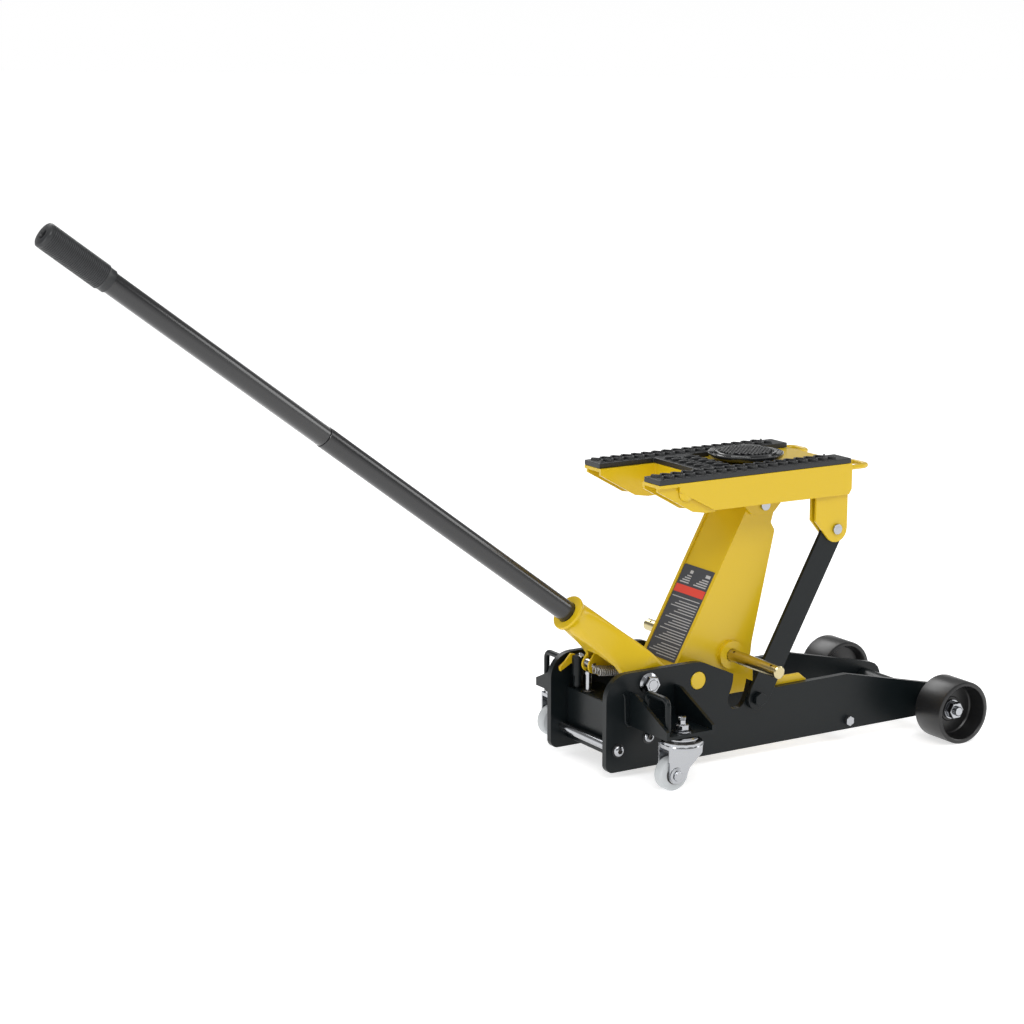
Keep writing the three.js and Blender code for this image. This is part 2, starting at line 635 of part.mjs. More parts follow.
function pumpPlunger() {
  return turned([
    [0, PUMP.floor + 12], [PLUNGER_R, PUMP.floor + 12], [PLUNGER_R, PLUNGER_TOP - 4],
    [PLUNGER_R + 1, PLUNGER_TOP - 4], [PLUNGER_R + 1, PLUNGER_TOP - 1], [PLUNGER_R, PLUNGER_TOP],
    [0, PLUNGER_TOP],
  ]).rotateX(Math.PI / 2).translate(PUMP.x, PUMP.y, 0);
}

function releaseShaft() {
  const knuckle = RELEASE.r + 2;
  return join(
    rodZ(RELEASE.r, RELEASE.foot, RELEASE.top - 12, RELEASE, SMALL_ROUND),
    rodZ(knuckle, RELEASE.top - 34, RELEASE.top - 12, RELEASE, SMALL_ROUND),
    box(RELEASE.x - 6, RELEASE.x + 6, RELEASE.y - 2.5, RELEASE.y + 2.5, RELEASE.top - 14, RELEASE.top),
  );
}

// ---------------------------------------------------------------- platform
// Rear end of a skirt or tongue wall: it runs down from the tip of the platform.
function wallOutline(rear, slopeEnd) {
  const top = PLATFORM_TOP - 1;
  return polygon([
    [rear, top], [rear, top - 9], [slopeEnd, SKIRT_BOTTOM], [PLATFORM_FRONT - 4, SKIRT_BOTTOM - 1.5],
    [PLATFORM_FRONT, SKIRT_BOTTOM + 5], [PLATFORM_FRONT, top],
  ]);
}

function platformDeck() {
  return polygon([
    [PLATFORM_REAR, -PLATFORM_HALF], [PLATFORM_FRONT, -PLATFORM_HALF], [PLATFORM_FRONT, PLATFORM_HALF],
    [PLATFORM_REAR, PLATFORM_HALF], [PLATFORM_REAR, TONGUE_INNER - 3], [NOTCH_FRONT, TONGUE_INNER - 3],
    [NOTCH_FRONT, -TONGUE_INNER + 3], [PLATFORM_REAR, -TONGUE_INNER + 3],
  ]);
}

// Clevis ears for the levelling link hang below the right skirt.
function clevisEar(low, high) {
  const ear = new THREE.Shape();
  ear.moveTo(294, SKIRT_BOTTOM + 8);
  ear.lineTo(294, DECK_LINK.z + 12);
  ear.absarc(DECK_LINK.x, DECK_LINK.z, EAR_TIP_R, 1.2 * Math.PI, 2 * Math.PI, false);
  ear.lineTo(DECK_LINK.x + EAR_TIP_R, SKIRT_BOTTOM + 8);
  ear.closePath();
  return slabY(ear, low, high);
}

function platform() {
  const sheet = PLATFORM_SHEET;
  const tongueWall = polygon([
    [PLATFORM_REAR, PLATFORM_TOP - 1], [PLATFORM_REAR, PLATFORM_TOP - 8], [112, SKIRT_BOTTOM],
    [130, SKIRT_BOTTOM - 3], [NOTCH_FRONT + sheet, SKIRT_BOTTOM - 3], [NOTCH_FRONT + sheet, PLATFORM_TOP - 1],
  ]);
  const pieces = [
    slabZ(platformDeck(), PLATFORM_TOP - sheet, PLATFORM_TOP),
    box(NOTCH_FRONT, NOTCH_FRONT + sheet, -TONGUE_INNER + 3, TONGUE_INNER - 3, SKIRT_BOTTOM + 10, PLATFORM_TOP - 1),
    clevisEar(-EAR_OUTER, -EAR_OUTER + EAR_SHEET),
    clevisEar(-LINK_INNER + RUN, -LINK_INNER + RUN + EAR_SHEET),
    box(294, 340, -PLATFORM_HALF, -LINK_INNER + RUN + EAR_SHEET, SKIRT_BOTTOM, SKIRT_BOTTOM + 8),
  ];
  for (const [, sign] of SIDES) {
    pieces.push(toSide(slabY(wallOutline(90, 140), PLATFORM_HALF - sheet, PLATFORM_HALF), sign));
    pieces.push(toSide(slabY(tongueWall, PLATFORM_HALF - sheet - 4, PLATFORM_HALF - 4.5), sign));
    pieces.push(toSide(slabY(tongueWall, TONGUE_INNER - 3, TONGUE_INNER - 3 + sheet), sign));
    pieces.push(toSide(pivotBracket(), sign));
  }
  return cut(
    join(...pieces),
    rodY(TOP_PIN_R + RUN, -60, 60, DECK_PIVOT, SMALL_ROUND),
    rodY(LINK_PIN_R + FIT, -PLATFORM_HALF - 1, -50, DECK_LINK, SMALL_ROUND),
    rodZ(SADDLE.stem + RUN, PLATFORM_TOP - 10, PLATFORM_TOP + 1, SADDLE),
  );
}

// Trapezoid plate under the deck that carries the top pivot pin beside the arm.
function pivotBracket() {
  const z = DECK_PIVOT.z;
  const bracket = rounded([
    [DECK_PIVOT.x - 34, PLATFORM_TOP - 2, 0], [DECK_PIVOT.x - 34, z + 8, 4], [DECK_PIVOT.x - 18, z - 11, 6],
    [DECK_PIVOT.x + 14, z - 11, 6], [DECK_PIVOT.x + 36, z + 12, 4], [DECK_PIVOT.x + 36, PLATFORM_TOP - 2, 0],
  ]);
  return slabY(bracket, ARM_HALF + 1, ARM_HALF + 5);
}

function topPivotPin() {
  const face = ARM_HALF + 5 + FIT;
  const head = (low, high) => rodY(TOP_PIN_R + 1.5, low, high, TOP_PIVOT, ROUND);
  return join(
    rodY(TOP_PIN_R, -face - 2, face + 2, TOP_PIVOT, ROUND),
    head(face, face + 3.5),
    head(-face - 3.5, -face),
  );
}

function rubberMat() {
  const inner = TONGUE_INNER;
  const outline = polygon([
    [PLATFORM_REAR, -PLATFORM_HALF], [PLATFORM_FRONT - 2, -PLATFORM_HALF], [PLATFORM_FRONT - 2, -inner],
    [MAT_CROSS_FRONT, -inner], [MAT_CROSS_FRONT, inner], [PLATFORM_FRONT - 2, inner],
    [PLATFORM_FRONT - 2, PLATFORM_HALF], [PLATFORM_REAR, PLATFORM_HALF], [PLATFORM_REAR, inner],
    [NOTCH_FRONT, inner], [NOTCH_FRONT, -inner], [PLATFORM_REAR, -inner],
  ]);
  return slabZ(outline, PLATFORM_TOP + FIT, PLATFORM_TOP + FIT + MAT_THICK);
}

function saddle() {
  const base = PLATFORM_TOP + RUN;
  return turned([
    [0, PLATFORM_TOP - 16], [SADDLE.stem, PLATFORM_TOP - 16], [SADDLE.stem, base], [30, base],
    [34, base + 4], [SADDLE.r - 4, base + 5], [SADDLE.r, base + 8], [SADDLE.r, SADDLE.top],
    [SADDLE.r - 5, SADDLE.top], [SADDLE.r - 7, SADDLE.top - 2.5], [0, SADDLE.top - 2.5],
  ], LARGE_ROUND).rotateX(Math.PI / 2).translate(SADDLE.x, 0, 0);
}

// Half-round bar loop welded to the front edge of the platform.
function frontTieLoop() {
  const z = PLATFORM_TOP - 6;
  const start = PLATFORM_FRONT + FIT;
  const reach = PLATFORM_FRONT + 29;
  const low = PLATFORM_HALF - 38;
  const high = PLATFORM_HALF - 4;
  const bend = 12;
  const at = (x, y) => new THREE.Vector3(x, y, z);
  const path = new THREE.CurvePath();
  path.add(new THREE.LineCurve3(at(start, low), at(reach - bend, low)));
  path.add(new THREE.QuadraticBezierCurve3(at(reach - bend, low), at(reach, low), at(reach, low + bend)));
  path.add(new THREE.LineCurve3(at(reach, low + bend), at(reach, high - bend)));
  path.add(new THREE.QuadraticBezierCurve3(at(reach, high - bend), at(reach, high), at(reach - bend, high)));
  path.add(new THREE.LineCurve3(at(reach - bend, high), at(start, high)));
  return sweptBar(path, 3);
}

// ---------------------------------------------------------------- levelling link
function levellingLink() {
  const outline = new THREE.Shape();
  const end = ARM_LENGTH;
  outline.moveTo(8, -LINK_HALF);
  outline.lineTo(end, -LINK_HALF);
  outline.absarc(end, 0, LINK_HALF, -Math.PI / 2, Math.PI / 2, false);
  outline.lineTo(8, LINK_HALF);
  outline.lineTo(0, LINK_FOOT_R);
  outline.absarc(0, 0, LINK_FOOT_R, Math.PI / 2, 1.5 * Math.PI, false);
  outline.closePath();
  const bar = slabY(outline, -LINK_OUTER, -LINK_INNER)
    .rotateY(-ARM_ANGLE).translate(LINK_FOOT.x, 0, LINK_FOOT.z);
  const across = [-LINK_OUTER - 1, -LINK_INNER + 1];
  return cut(
    bar,
    rodY(LINK_PIN_R + RUN, ...across, LINK_FOOT, SMALL_ROUND),
    rodY(LINK_PIN_R + RUN, ...across, LINK_HEAD, SMALL_ROUND),
  );
}

function linkFootBolt() {
  return join(
    rodY(LINK_PIN_R, -LINK_OUTER - 4, -PLATE_INNER + 9, LINK_FOOT, SMALL_ROUND),
    hexagonY(15, -LINK_OUTER - 6.5, -LINK_OUTER - FIT, LINK_FOOT),
    hexagonY(15, -PLATE_INNER + FIT, -PLATE_INNER + 6, LINK_FOOT),
  );
}

function linkHeadPin() {
  const inner = -LINK_INNER + RUN + EAR_SHEET + FIT;
  return join(
    rodY(LINK_PIN_R, -EAR_OUTER - 3, inner + 3, LINK_HEAD, SMALL_ROUND),
    rodY(LINK_PIN_R + 1.5, -EAR_OUTER - 3.5, -EAR_OUTER - FIT, LINK_HEAD, ROUND),
    rodY(LINK_PIN_R + 1.5, inner, inner + 3, LINK_HEAD, ROUND),
  );
}

// ---------------------------------------------------------------- handle
// Tapered box built from sections square to the handle: [along, halfWidth, low, high].
function taperedBox(sections) {
  const vertices = [];
  const index = [];
  sections.forEach(([u, half, low, high]) => {
    vertices.push(u, -half, low, u, half, low, u, half, high, u, -half, high);
  });
  const last = sections.length - 1;
  for (let s = 0; s < last; s += 1) {
    for (let k = 0; k < 4; k += 1) {
      const a = s * 4 + k;
      const b = s * 4 + ((k + 1) % 4);
      index.push(a, b, b + 4, a, b + 4, a + 4);
    }
  }
  const end = last * 4;
  index.push(0, 2, 1, 0, 3, 2, end, end + 1, end + 2, end, end + 2, end + 3);
  const geometry = new THREE.BufferGeometry();
  geometry.setAttribute('position', new THREE.Float32BufferAttribute(vertices, 3));
  geometry.setIndex(index);
  return geometry;
}

// Piece turned about the handle axis, given as [radius, distance up the handle].
function turnedOnHandle(profile, segments = ROUND) {
  return ontoHandle(turned(profile, segments).rotateZ(-Math.PI / 2).translate(0, 0, HANDLE_OFFSET));
}

function handleSocket() {
  const top = HANDLE_OFFSET + SOCKET_R;
  const bore = LOWER_TUBE_R + RUN;
  const barrel = turned([
    [0, 30], [SOCKET_R, 30], [SOCKET_R, SOCKET_LIP - 6], [SOCKET_R + 3, SOCKET_LIP - 3],
    [SOCKET_R + 3, SOCKET_LIP], [bore, SOCKET_LIP], [bore, SOCKET_FLOOR], [0, SOCKET_FLOOR],
  ]).rotateZ(-Math.PI / 2).translate(0, 0, HANDLE_OFFSET);
  const yoke = taperedBox([
    [-28, YOKE_HALF, 8, 31], [-10, YOKE_HALF, -13, 34], [7, YOKE_HALF - 1, -13, 36],
    [28, 33.5, -2, 38], [64, SOCKET_R - 1.5, 4, top - 2],
  ]);
  const pocket = taperedBox([
    [-40, YOKE_HALF - 8, -30, 22], [7, YOKE_HALF - 9, -30, 27], [28, 29, -30, 22], [42, 14, -30, 6],
  ]);
  const rollerU = (YOKE_PIVOT.x - ROLLER.x) * Math.cos(HANDLE_ANGLE)
    + (ROLLER.z - YOKE_PIVOT.z) * Math.sin(HANDLE_ANGLE);
  const rollerN = (ROLLER.x - YOKE_PIVOT.x) * Math.sin(HANDLE_ANGLE)
    + (ROLLER.z - YOKE_PIVOT.z) * Math.cos(HANDLE_ANGLE);
  const lugOutline = rounded([
    [rollerU - 9, rollerN - 9, 8], [rollerU + 9, rollerN - 9, 8], [rollerU + 11, 31, 0], [rollerU - 11, 31, 0],
  ]);
  const lugMiddle = ROLLER.half + 2.5;
  const lug = (side) => slabY(lugOutline, PUMP.y + side * lugMiddle - 1.5, PUMP.y + side * lugMiddle + 1.5);
  const local = cut(
    join(cut(yoke, pocket), barrel, lug(1), lug(-1)),
    turned([[0, SOCKET_FLOOR], [bore, SOCKET_FLOOR], [bore, SOCKET_LIP + 5], [0, SOCKET_LIP + 5]])
      .rotateZ(-Math.PI / 2).translate(0, 0, HANDLE_OFFSET),
    rodY(ROLLER_PIN_R + FIT, PUMP.y - 9.5, PUMP.y + 9.5, { x: rollerU, z: rollerN }, SMALL_ROUND),
    rodY(YOKE_BOLT_R + RUN, -YOKE_HALF - 5, YOKE_HALF + 5, { x: 0, z: 0 }),
  );
  return ontoHandle(local);
}

function pumpRoller() {
  return join(
    rodY(ROLLER_PIN_R, PUMP.y - 8.5, PUMP.y + 8.5, ROLLER, SMALL_ROUND),
    rodY(ROLLER.r, PUMP.y - ROLLER.half, PUMP.y + ROLLER.half, ROLLER),
  );
}

function yokeBolt() {
  const shankEnd = YOKE_HALF - 12;
  return join(
    rodY(YOKE_BOLT_R, shankEnd, PLATE_OUTER + 3, YOKE_PIVOT, ROUND),
    rodY(12.5, PLATE_OUTER + FIT, PLATE_OUTER + 2.5, YOKE_PIVOT, ROUND),
    hexagonY(18, PLATE_OUTER + 2, PLATE_OUTER + 11, YOKE_PIVOT),
  );
}

function lowerTube() {
  const inner = LOWER_TUBE_R - TUBE_WALL;
  return turnedOnHandle(tubeProfile(inner, LOWER_TUBE_R, SOCKET_FLOOR + 2, TUBE_JOINT));
}

function upperTube() {
  const inner = UPPER_TUBE_R - TUBE_WALL - 2;
  const spigotR = LOWER_TUBE_R - TUBE_WALL - FIT;
  return turnedOnHandle([
    [inner, TUBE_JOINT - SPIGOT], [spigotR, TUBE_JOINT - SPIGOT], [spigotR, TUBE_JOINT + FIT],
    [UPPER_TUBE_R, TUBE_JOINT + FIT], [UPPER_TUBE_R, GRIP_END - 4], [inner, GRIP_END - 4],
    [inner, TUBE_JOINT - SPIGOT],
  ]);
}

function grip() {
  const bore = UPPER_TUBE_R + FIT;
  const collar = GRIP_R - 1.2;
  return turnedOnHandle([
    [bore, GRIP_START], [collar, GRIP_START], [collar, GRIP_START + 8], [GRIP_R, GRIP_START + 10],
    [GRIP_R, GRIP_END - 2], [GRIP_R - 2, GRIP_END], [5, GRIP_END], [5, GRIP_END - 4 + FIT],
    [bore, GRIP_END - 4 + FIT], [bore, GRIP_START],
  ]);
}

// ---------------------------------------------------------------- assembly
for (const [side, sign] of SIDES) {
  addPart(`side_plate_${side}`, toSide(sidePlate(), sign), 'black');
  addPart(`tie_rod_screw_${side}`, toSide(plateScrew(TIE_ROD, 7.5, PLATE_INNER + 1), sign), 'zinc');
  addPart(`block_screw_${side}`, toSide(plateScrew(BLOCK_SCREW, 7, BLOCK.half - 10), sign), 'zinc');
  addPart(`yoke_bolt_${side}`, toSide(yokeBolt(), sign), 'zinc');
  addPart(`arm_guide_${side}`, toSide(armGuide(), sign), 'yellow');
  addPart(`caster_bracket_${side}`, toSide(casterBracket(), sign), 'black');
  addPart(`tie_down_loop_${side}`, toSide(tieDownLoop(), sign), 'black');
  addPart(`caster_fork_${side}`, toSide(casterFork(), sign), 'zinc');
  addPart(`caster_axle_${side}`, toSide(casterAxle(), sign), 'zinc');
  addPart(`caster_wheel_${side}`, toSide(casterWheel(), sign), 'nylon');
  addPart(`axle_spacer_${side}`, toSide(axleSpacer(), sign), 'black');
  addPart(`front_wheel_${side}`, toSide(frontWheel(), sign), 'wheel');
  addPart(`axle_nut_${side}`, toSide(axleNut(), sign), 'zinc');
  addPart(`platform_loop_${side}`, toSide(ontoArmHead(frontTieLoop()), sign), 'yellow');
}
addPart('rear_cross_plate', rearCrossPlate(), 'black');
addPart('rear_tie_rod', rodY(TIE_ROD.tube, -PLATE_INNER + FIT, PLATE_INNER - FIT, TIE_ROD), 'zinc');
addPart('front_tie_bolt', frontTie(), 'zinc');
addPart('front_axle', frontAxle(), 'zinc');
addPart('hydraulic_block', hydraulicBlock(), 'castIron');
addPart('ram_cylinder', ramCylinder(), 'castIron');
addPart('pump_body', pumpBody(), 'zinc');
addPart('pump_plunger', pumpPlunger(), 'zinc');
addPart('release_shaft', releaseShaft(), 'black');
addPart('ram_rod', ramRod(), 'zinc');
addPart('lift_arm', liftArm(), 'yellow');
addPart('arm_pivot_shaft', rodY(ARM_SHAFT_R, -PLATE_OUTER - 1, PLATE_OUTER + 1, ARM_PIVOT), 'yellow');
addPart('ram_pin', ramPin(), 'zinc');
addPart('lock_pin', lockPin(), 'yellowZinc');
addPart('data_label', dataLabel(), 'label');
addPart('platform', ontoArmHead(platform()), 'yellow');
addPart('top_pivot_pin', topPivotPin(), 'zinc');
addPart('rubber_mat', ontoArmHead(rubberMat()), 'rubber');
addPart('saddle', ontoArmHead(saddle()), 'black');
addPart('levelling_link', levellingLink(), 'black');
addPart('link_foot_bolt', linkFootBolt(), 'black');
addPart('link_head_pin', linkHeadPin(), 'zinc');
addPart('handle_socket', handleSocket(), 'yellow');
addPart('pump_roller', pumpRoller(), 'zinc');
addPart('handle_tube_lower', lowerTube(), 'black');
addPart('handle_tube_upper', upperTube(), 'black');
addPart('handle_grip', grip(), 'rubber');

// The front wheels are taller over the frame than the casters, so the jack stands nose up.
const wheelBase = FRONT_AXLE.x - (SWIVEL.x - CASTER_TRAIL);
const axleRise = FRONT_AXLE.z - CASTER_R;
const LEAN = Math.asin((FRONT_WHEEL_R - CASTER_R) / Math.hypot(wheelBase, axleRise))
  - Math.atan2(axleRise, wheelBase);
jack.rotation.y = -LEAN;
jack.updateMatrixWorld(true);
const bounds = new THREE.Box3().setFromObject(jack, true);
jack.position.set(-(bounds.min.x + bounds.max.x) / 2, 0, -bounds.min.z);

export default jack;
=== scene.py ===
"""Looks of the floor jack: fine surfaces, materials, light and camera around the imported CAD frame.

Lengths are in millimetres in the jack's own layout, as in the CAD source: x runs forward from the
rear edge of the side plates, y to the left from the centre plane, z up from the ground.
"""

import json
import math

import bmesh
import bpy
from mathutils import Matrix, Vector


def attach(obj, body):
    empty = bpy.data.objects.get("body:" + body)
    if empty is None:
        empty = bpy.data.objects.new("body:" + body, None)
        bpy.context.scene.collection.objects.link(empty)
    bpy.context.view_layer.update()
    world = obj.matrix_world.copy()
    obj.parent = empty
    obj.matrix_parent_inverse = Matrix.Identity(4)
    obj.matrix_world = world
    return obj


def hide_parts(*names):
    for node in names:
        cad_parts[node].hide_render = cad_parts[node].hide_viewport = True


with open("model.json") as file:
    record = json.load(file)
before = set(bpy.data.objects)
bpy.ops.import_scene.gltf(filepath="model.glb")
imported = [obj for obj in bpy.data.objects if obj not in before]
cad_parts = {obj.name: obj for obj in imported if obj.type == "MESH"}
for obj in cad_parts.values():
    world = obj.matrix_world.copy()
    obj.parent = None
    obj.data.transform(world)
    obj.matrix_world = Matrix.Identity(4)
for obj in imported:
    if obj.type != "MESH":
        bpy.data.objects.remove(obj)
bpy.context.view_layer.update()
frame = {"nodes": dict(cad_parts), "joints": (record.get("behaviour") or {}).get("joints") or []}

MM = 0.001
SIDES = (("right", -1), ("left", 1))

# Layout shared with the CAD source
PLATE_FACE = 64.5
ARM_PIVOT = (130.8, 104.0)
ARM_ANGLE = math.radians(60.9)
ARM_LENGTH = 226.5
ARM_BACK = 16.5
YOKE_PIVOT = (58.8, 111.3)
HANDLE_ANGLE = math.radians(36.94)
HANDLE_OFFSET = 21.7
PLATFORM_TOP = 349.0
PLATFORM_HALF = 80.0
PLATFORM_REAR = 61.5
MAT_FRONT = 342.0
MAT_TOP = 358.3
TONGUE_INNER = 47.0
NOTCH_FRONT = 140.0
MAT_CROSS_FRONT = 192.0
SADDLE_X = 243.0
LINK_FOOT = (215.5, 71.0)
FRONT_AXLE = (482.9, 29.0)
FRONT_WHEEL_R = 39.5
FRONT_WHEEL_FACE = 139.0
FRONT_WHEEL_WIDE = 46.0
WHEEL_RECESS = 23.7
SWIVEL = (63.0, 127.8)
CASTER_TRAIL = 14.5
CASTER_R = 20.0
SHELF_TOP = 68.0
SHELF_SHEET = 4.0
BLOCK_TOP = 84.2
PUMP_Y = 25.0
TIE_ROD = (17.0, 35.2)
BLOCK_SCREW = (60.0, 46.0)
LOWER_TUBE = (42.0, 502.0)
UPPER_TUBE = (462.0, 891.0)
GRIP_START = 808.0

TOP_PIVOT = (
    ARM_PIVOT[0] + ARM_LENGTH * math.cos(ARM_ANGLE),
    ARM_PIVOT[1] + ARM_LENGTH * math.sin(ARM_ANGLE),
)
LINK_HEAD = (
    LINK_FOOT[0] + ARM_LENGTH * math.cos(ARM_ANGLE),
    LINK_FOOT[1] + ARM_LENGTH * math.sin(ARM_ANGLE),
)
LOCK_PIN = (
    ARM_PIVOT[0] + 47.0 * math.cos(ARM_ANGLE) + 48.8 * math.sin(ARM_ANGLE),
    ARM_PIVOT[1] + 47.0 * math.sin(ARM_ANGLE) - 48.8 * math.cos(ARM_ANGLE),
)


# The jack stands nose up, because the front wheels are taller over the frame than the casters.
WHEEL_BASE = FRONT_AXLE[0] - (SWIVEL[0] - CASTER_TRAIL)
AXLE_RISE = FRONT_AXLE[1] - CASTER_R
LEAN = (
    math.asin((FRONT_WHEEL_R - CASTER_R) / math.hypot(WHEEL_BASE, AXLE_RISE))
    - math.atan2(AXLE_RISE, WHEEL_BASE)
)
LEANED = Matrix.Rotation(-LEAN, 3, "Y")
UP = LEANED @ Vector((0, 0, 1))
ARM_JOINT = next(joint for joint in frame["joints"] if joint["name"] == "lift_arm_raise")
OFFSET = Vector(ARM_JOINT["pos_m"]) - LEANED @ Vector((ARM_PIVOT[0] * MM, 0, ARM_PIVOT[1] * MM))


# ---------------------------------------------------------------- coordinates
def at(x, y, z):
    """A point of the jack's layout, in metres in the frame."""
    return OFFSET + LEANED @ Vector((x * MM, y * MM, z * MM))


def on_handle(u, y, n):
    """A point u up the handle from the yoke pivot, y across it and n square to it."""
    c, s = math.cos(HANDLE_ANGLE), math.sin(HANDLE_ANGLE)
    return at(YOKE_PIVOT[0] - u * c + n * s, y, YOKE_PIVOT[1] + u * s + n * c)


def on_arm(a, y, b):
    """A point a along the arm from its pivot, y across it and b out of its rear face."""
    c, s = math.cos(ARM_ANGLE), math.sin(ARM_ANGLE)
    return at(ARM_PIVOT[0] + a * c - b * s, y, ARM_PIVOT[1] + a * s + b * c)


HANDLE_START = on_handle(0, 0, HANDLE_OFFSET)
HANDLE_DIRECTION = on_handle(1, 0, 0) - on_handle(0, 0, 0)


# ---------------------------------------------------------------- materials
def shader_of(name):
    material = bpy.data.materials.new(name)
    material.use_nodes = True
    return material, material.node_tree.nodes["Principled BSDF"]


def add_bump(material, shader, scale, strength):
    nodes, links = material.node_tree.nodes, material.node_tree.links
    place = nodes.new("ShaderNodeTexCoord")
    noise = nodes.new("ShaderNodeTexNoise")
    noise.inputs["Scale"].default_value = scale
    noise.inputs["Detail"].default_value = 2.0
    bump = nodes.new("ShaderNodeBump")
    bump.inputs["Strength"].default_value = strength
    bump.inputs["Distance"].default_value = 0.0004
    links.new(place.outputs["Object"], noise.inputs["Vector"])
    links.new(noise.outputs["Fac"], bump.inputs["Height"])
    links.new(bump.outputs["Normal"], shader.inputs["Normal"])


def add_roughness_wear(material, shader, scale, low, high):
    nodes, links = material.node_tree.nodes, material.node_tree.links
    place = nodes.new("ShaderNodeTexCoord")
    noise = nodes.new("ShaderNodeTexNoise")
    noise.inputs["Scale"].default_value = scale
    noise.inputs["Detail"].default_value = 4.0
    spread = nodes.new("ShaderNodeMapRange")
    spread.inputs["To Min"].default_value = low
    spread.inputs["To Max"].default_value = high
    links.new(place.outputs["Object"], noise.inputs["Vector"])
    links.new(noise.outputs["Fac"], spread.inputs["Value"])
    links.new(spread.outputs["Result"], shader.inputs["Roughness"])


def painted(name, colour, roughness, coat, specular=0.5):
    material, shader = shader_of(name)
    shader.inputs["Base Color"].default_value = (*colour, 1)
    shader.inputs["Specular IOR Level"].default_value = specular
    shader.inputs["Coat Weight"].default_value = coat
    shader.inputs["Coat Roughness"].default_value = 0.12
    add_roughness_wear(material, shader, 30, roughness - 0.05, roughness + 0.05)
    add_bump(material, shader, 700, 0.10)
    return material


def plated(name, colour, roughness):
    material, shader = shader_of(name)
    shader.inputs["Base Color"].default_value = (*colour, 1)
    shader.inputs["Metallic"].default_value = 1.0
    add_roughness_wear(material, shader, 120, roughness - 0.07, roughness + 0.07)
    add_bump(material, shader, 900, 0.06)
    return material


def moulded(name, colour, roughness, grain, strength):
    material, shader = shader_of(name)
    shader.inputs["Base Color"].default_value = (*colour, 1)
    add_roughness_wear(material, shader, 60, roughness - 0.05, roughness + 0.05)
    add_bump(material, shader, grain, strength)
    return material


YELLOW = painted("yellow_paint", (0.60, 0.405, 0.004), 0.32, 0.2, 0.4)
BLACK = painted("black_paint", (0.0042, 0.0064, 0.0074), 0.32, 0.0, 0.24)
TUBE_BLACK = painted("tube_black", (0.010, 0.010, 0.011), 0.24, 0.3)
ZINC = plated("zinc_plate", (0.40, 0.41, 0.43), 0.17)
YELLOW_ZINC = plated("yellow_zinc", (0.52, 0.45, 0.26), 0.24)
SPRING_STEEL = plated("spring_steel", (0.34, 0.33, 0.31), 0.35)
DARK_STEEL = plated("dark_steel", (0.09, 0.085, 0.08), 0.4)
SADDLE_BLACK = painted("saddle_black", (0.008, 0.009, 0.010), 0.22, 0.6)
GREASY = painted("greasy_black", (0.006, 0.006, 0.0065), 0.3, 0.2)
RUST = painted("rusted_bolt", (0.10, 0.035, 0.012), 0.6, 0.0)
CAST = painted("cast_housing", (0.05, 0.052, 0.055), 0.5, 0.0)
RUBBER = moulded("rubber", (0.009, 0.010, 0.0115), 0.42, 900, 0.12)
WHEEL_BLACK = moulded("wheel_black", (0.009, 0.009, 0.0095), 0.34, 700, 0.08)
NYLON = moulded("nylon", (0.46, 0.48, 0.49), 0.4, 400, 0.05)
LABEL = moulded("label_film", (0.045, 0.047, 0.055), 0.35, 500, 0.02)
LABEL_RED = moulded("label_red", (0.62, 0.05, 0.03), 0.35, 500, 0.02)
LABEL_LINE = moulded("label_line", (0.42, 0.42, 0.43), 0.4, 500, 0.02)

NODE_LOOKS = {
    "side_plate": (BLACK, 1.0),
    "yoke_bolt": (ZINC, 0.5),
    "arm_guide": (YELLOW, 1.0),
    "caster_bracket": (BLACK, 0.8),
    "caster_fork": (ZINC, 0.9),
    "caster_axle": (ZINC, 0.4),
    "axle_nut": (ZINC, 0.4),
    "rear_cross_plate": (BLACK, 0.8),
    "front_tie_bolt": (ZINC, 0.4),
    "front_axle": (BLACK, 0.4),
    "hydraulic_block": (BLACK, 1.2),
    "ram_cylinder": (CAST, 0.5),
    "pump_body": (DARK_STEEL, 0.4),
    "pump_plunger": (ZINC, 0.4),
    "release_shaft": (BLACK, 0.5),
    "ram_rod": (GREASY, 0.6),
    "lift_arm": (YELLOW, 1.2),
    "ram_pin": (ZINC, 0.4),
    "data_label": (LABEL, 0.0),
    "platform": (YELLOW, 1.0),
    "levelling_link": (BLACK, 0.8),
    "link_foot_bolt": (BLACK, 0.5),
    "link_head_pin": (ZINC, 0.5),
    "top_pivot_pin": (ZINC, 0.5),
    "pump_roller": (ZINC, 0.4),
}


def bevel_edges(obj, width, angle=38.0, segments=3):
    edge = obj.modifiers.new("bevel", "BEVEL")
    edge.width = width * MM
    edge.segments = segments
    edge.limit_method = "ANGLE"
    edge.angle_limit = math.radians(angle)
    edge.harden_normals = True
    return obj


def soften(obj, width):
    """Rounds the sharp edges of a piece and shades the rest smoothly."""
    weld = obj.modifiers.new("weld", "WELD")
    weld.merge_threshold = 0.02 * MM
    flat = obj.modifiers.new("flat", "DECIMATE")
    flat.decimate_type = "DISSOLVE"
    flat.angle_limit = math.radians(0.5)
    if width > 0:
        bevel_edges(obj, width)
    for polygon in obj.data.polygons:
        polygon.use_smooth = True
    obj.modifiers.new("even", "WEIGHTED_NORMAL").keep_sharp = True


for node, obj in frame["nodes"].items():
    look = NODE_LOOKS.get(node) or NODE_LOOKS.get(node.removesuffix("_right").removesuffix("_left"))
    if look is None:
        continue
    obj.data.materials.clear()
    obj.data.materials.append(look[0])
    soften(obj, look[1])


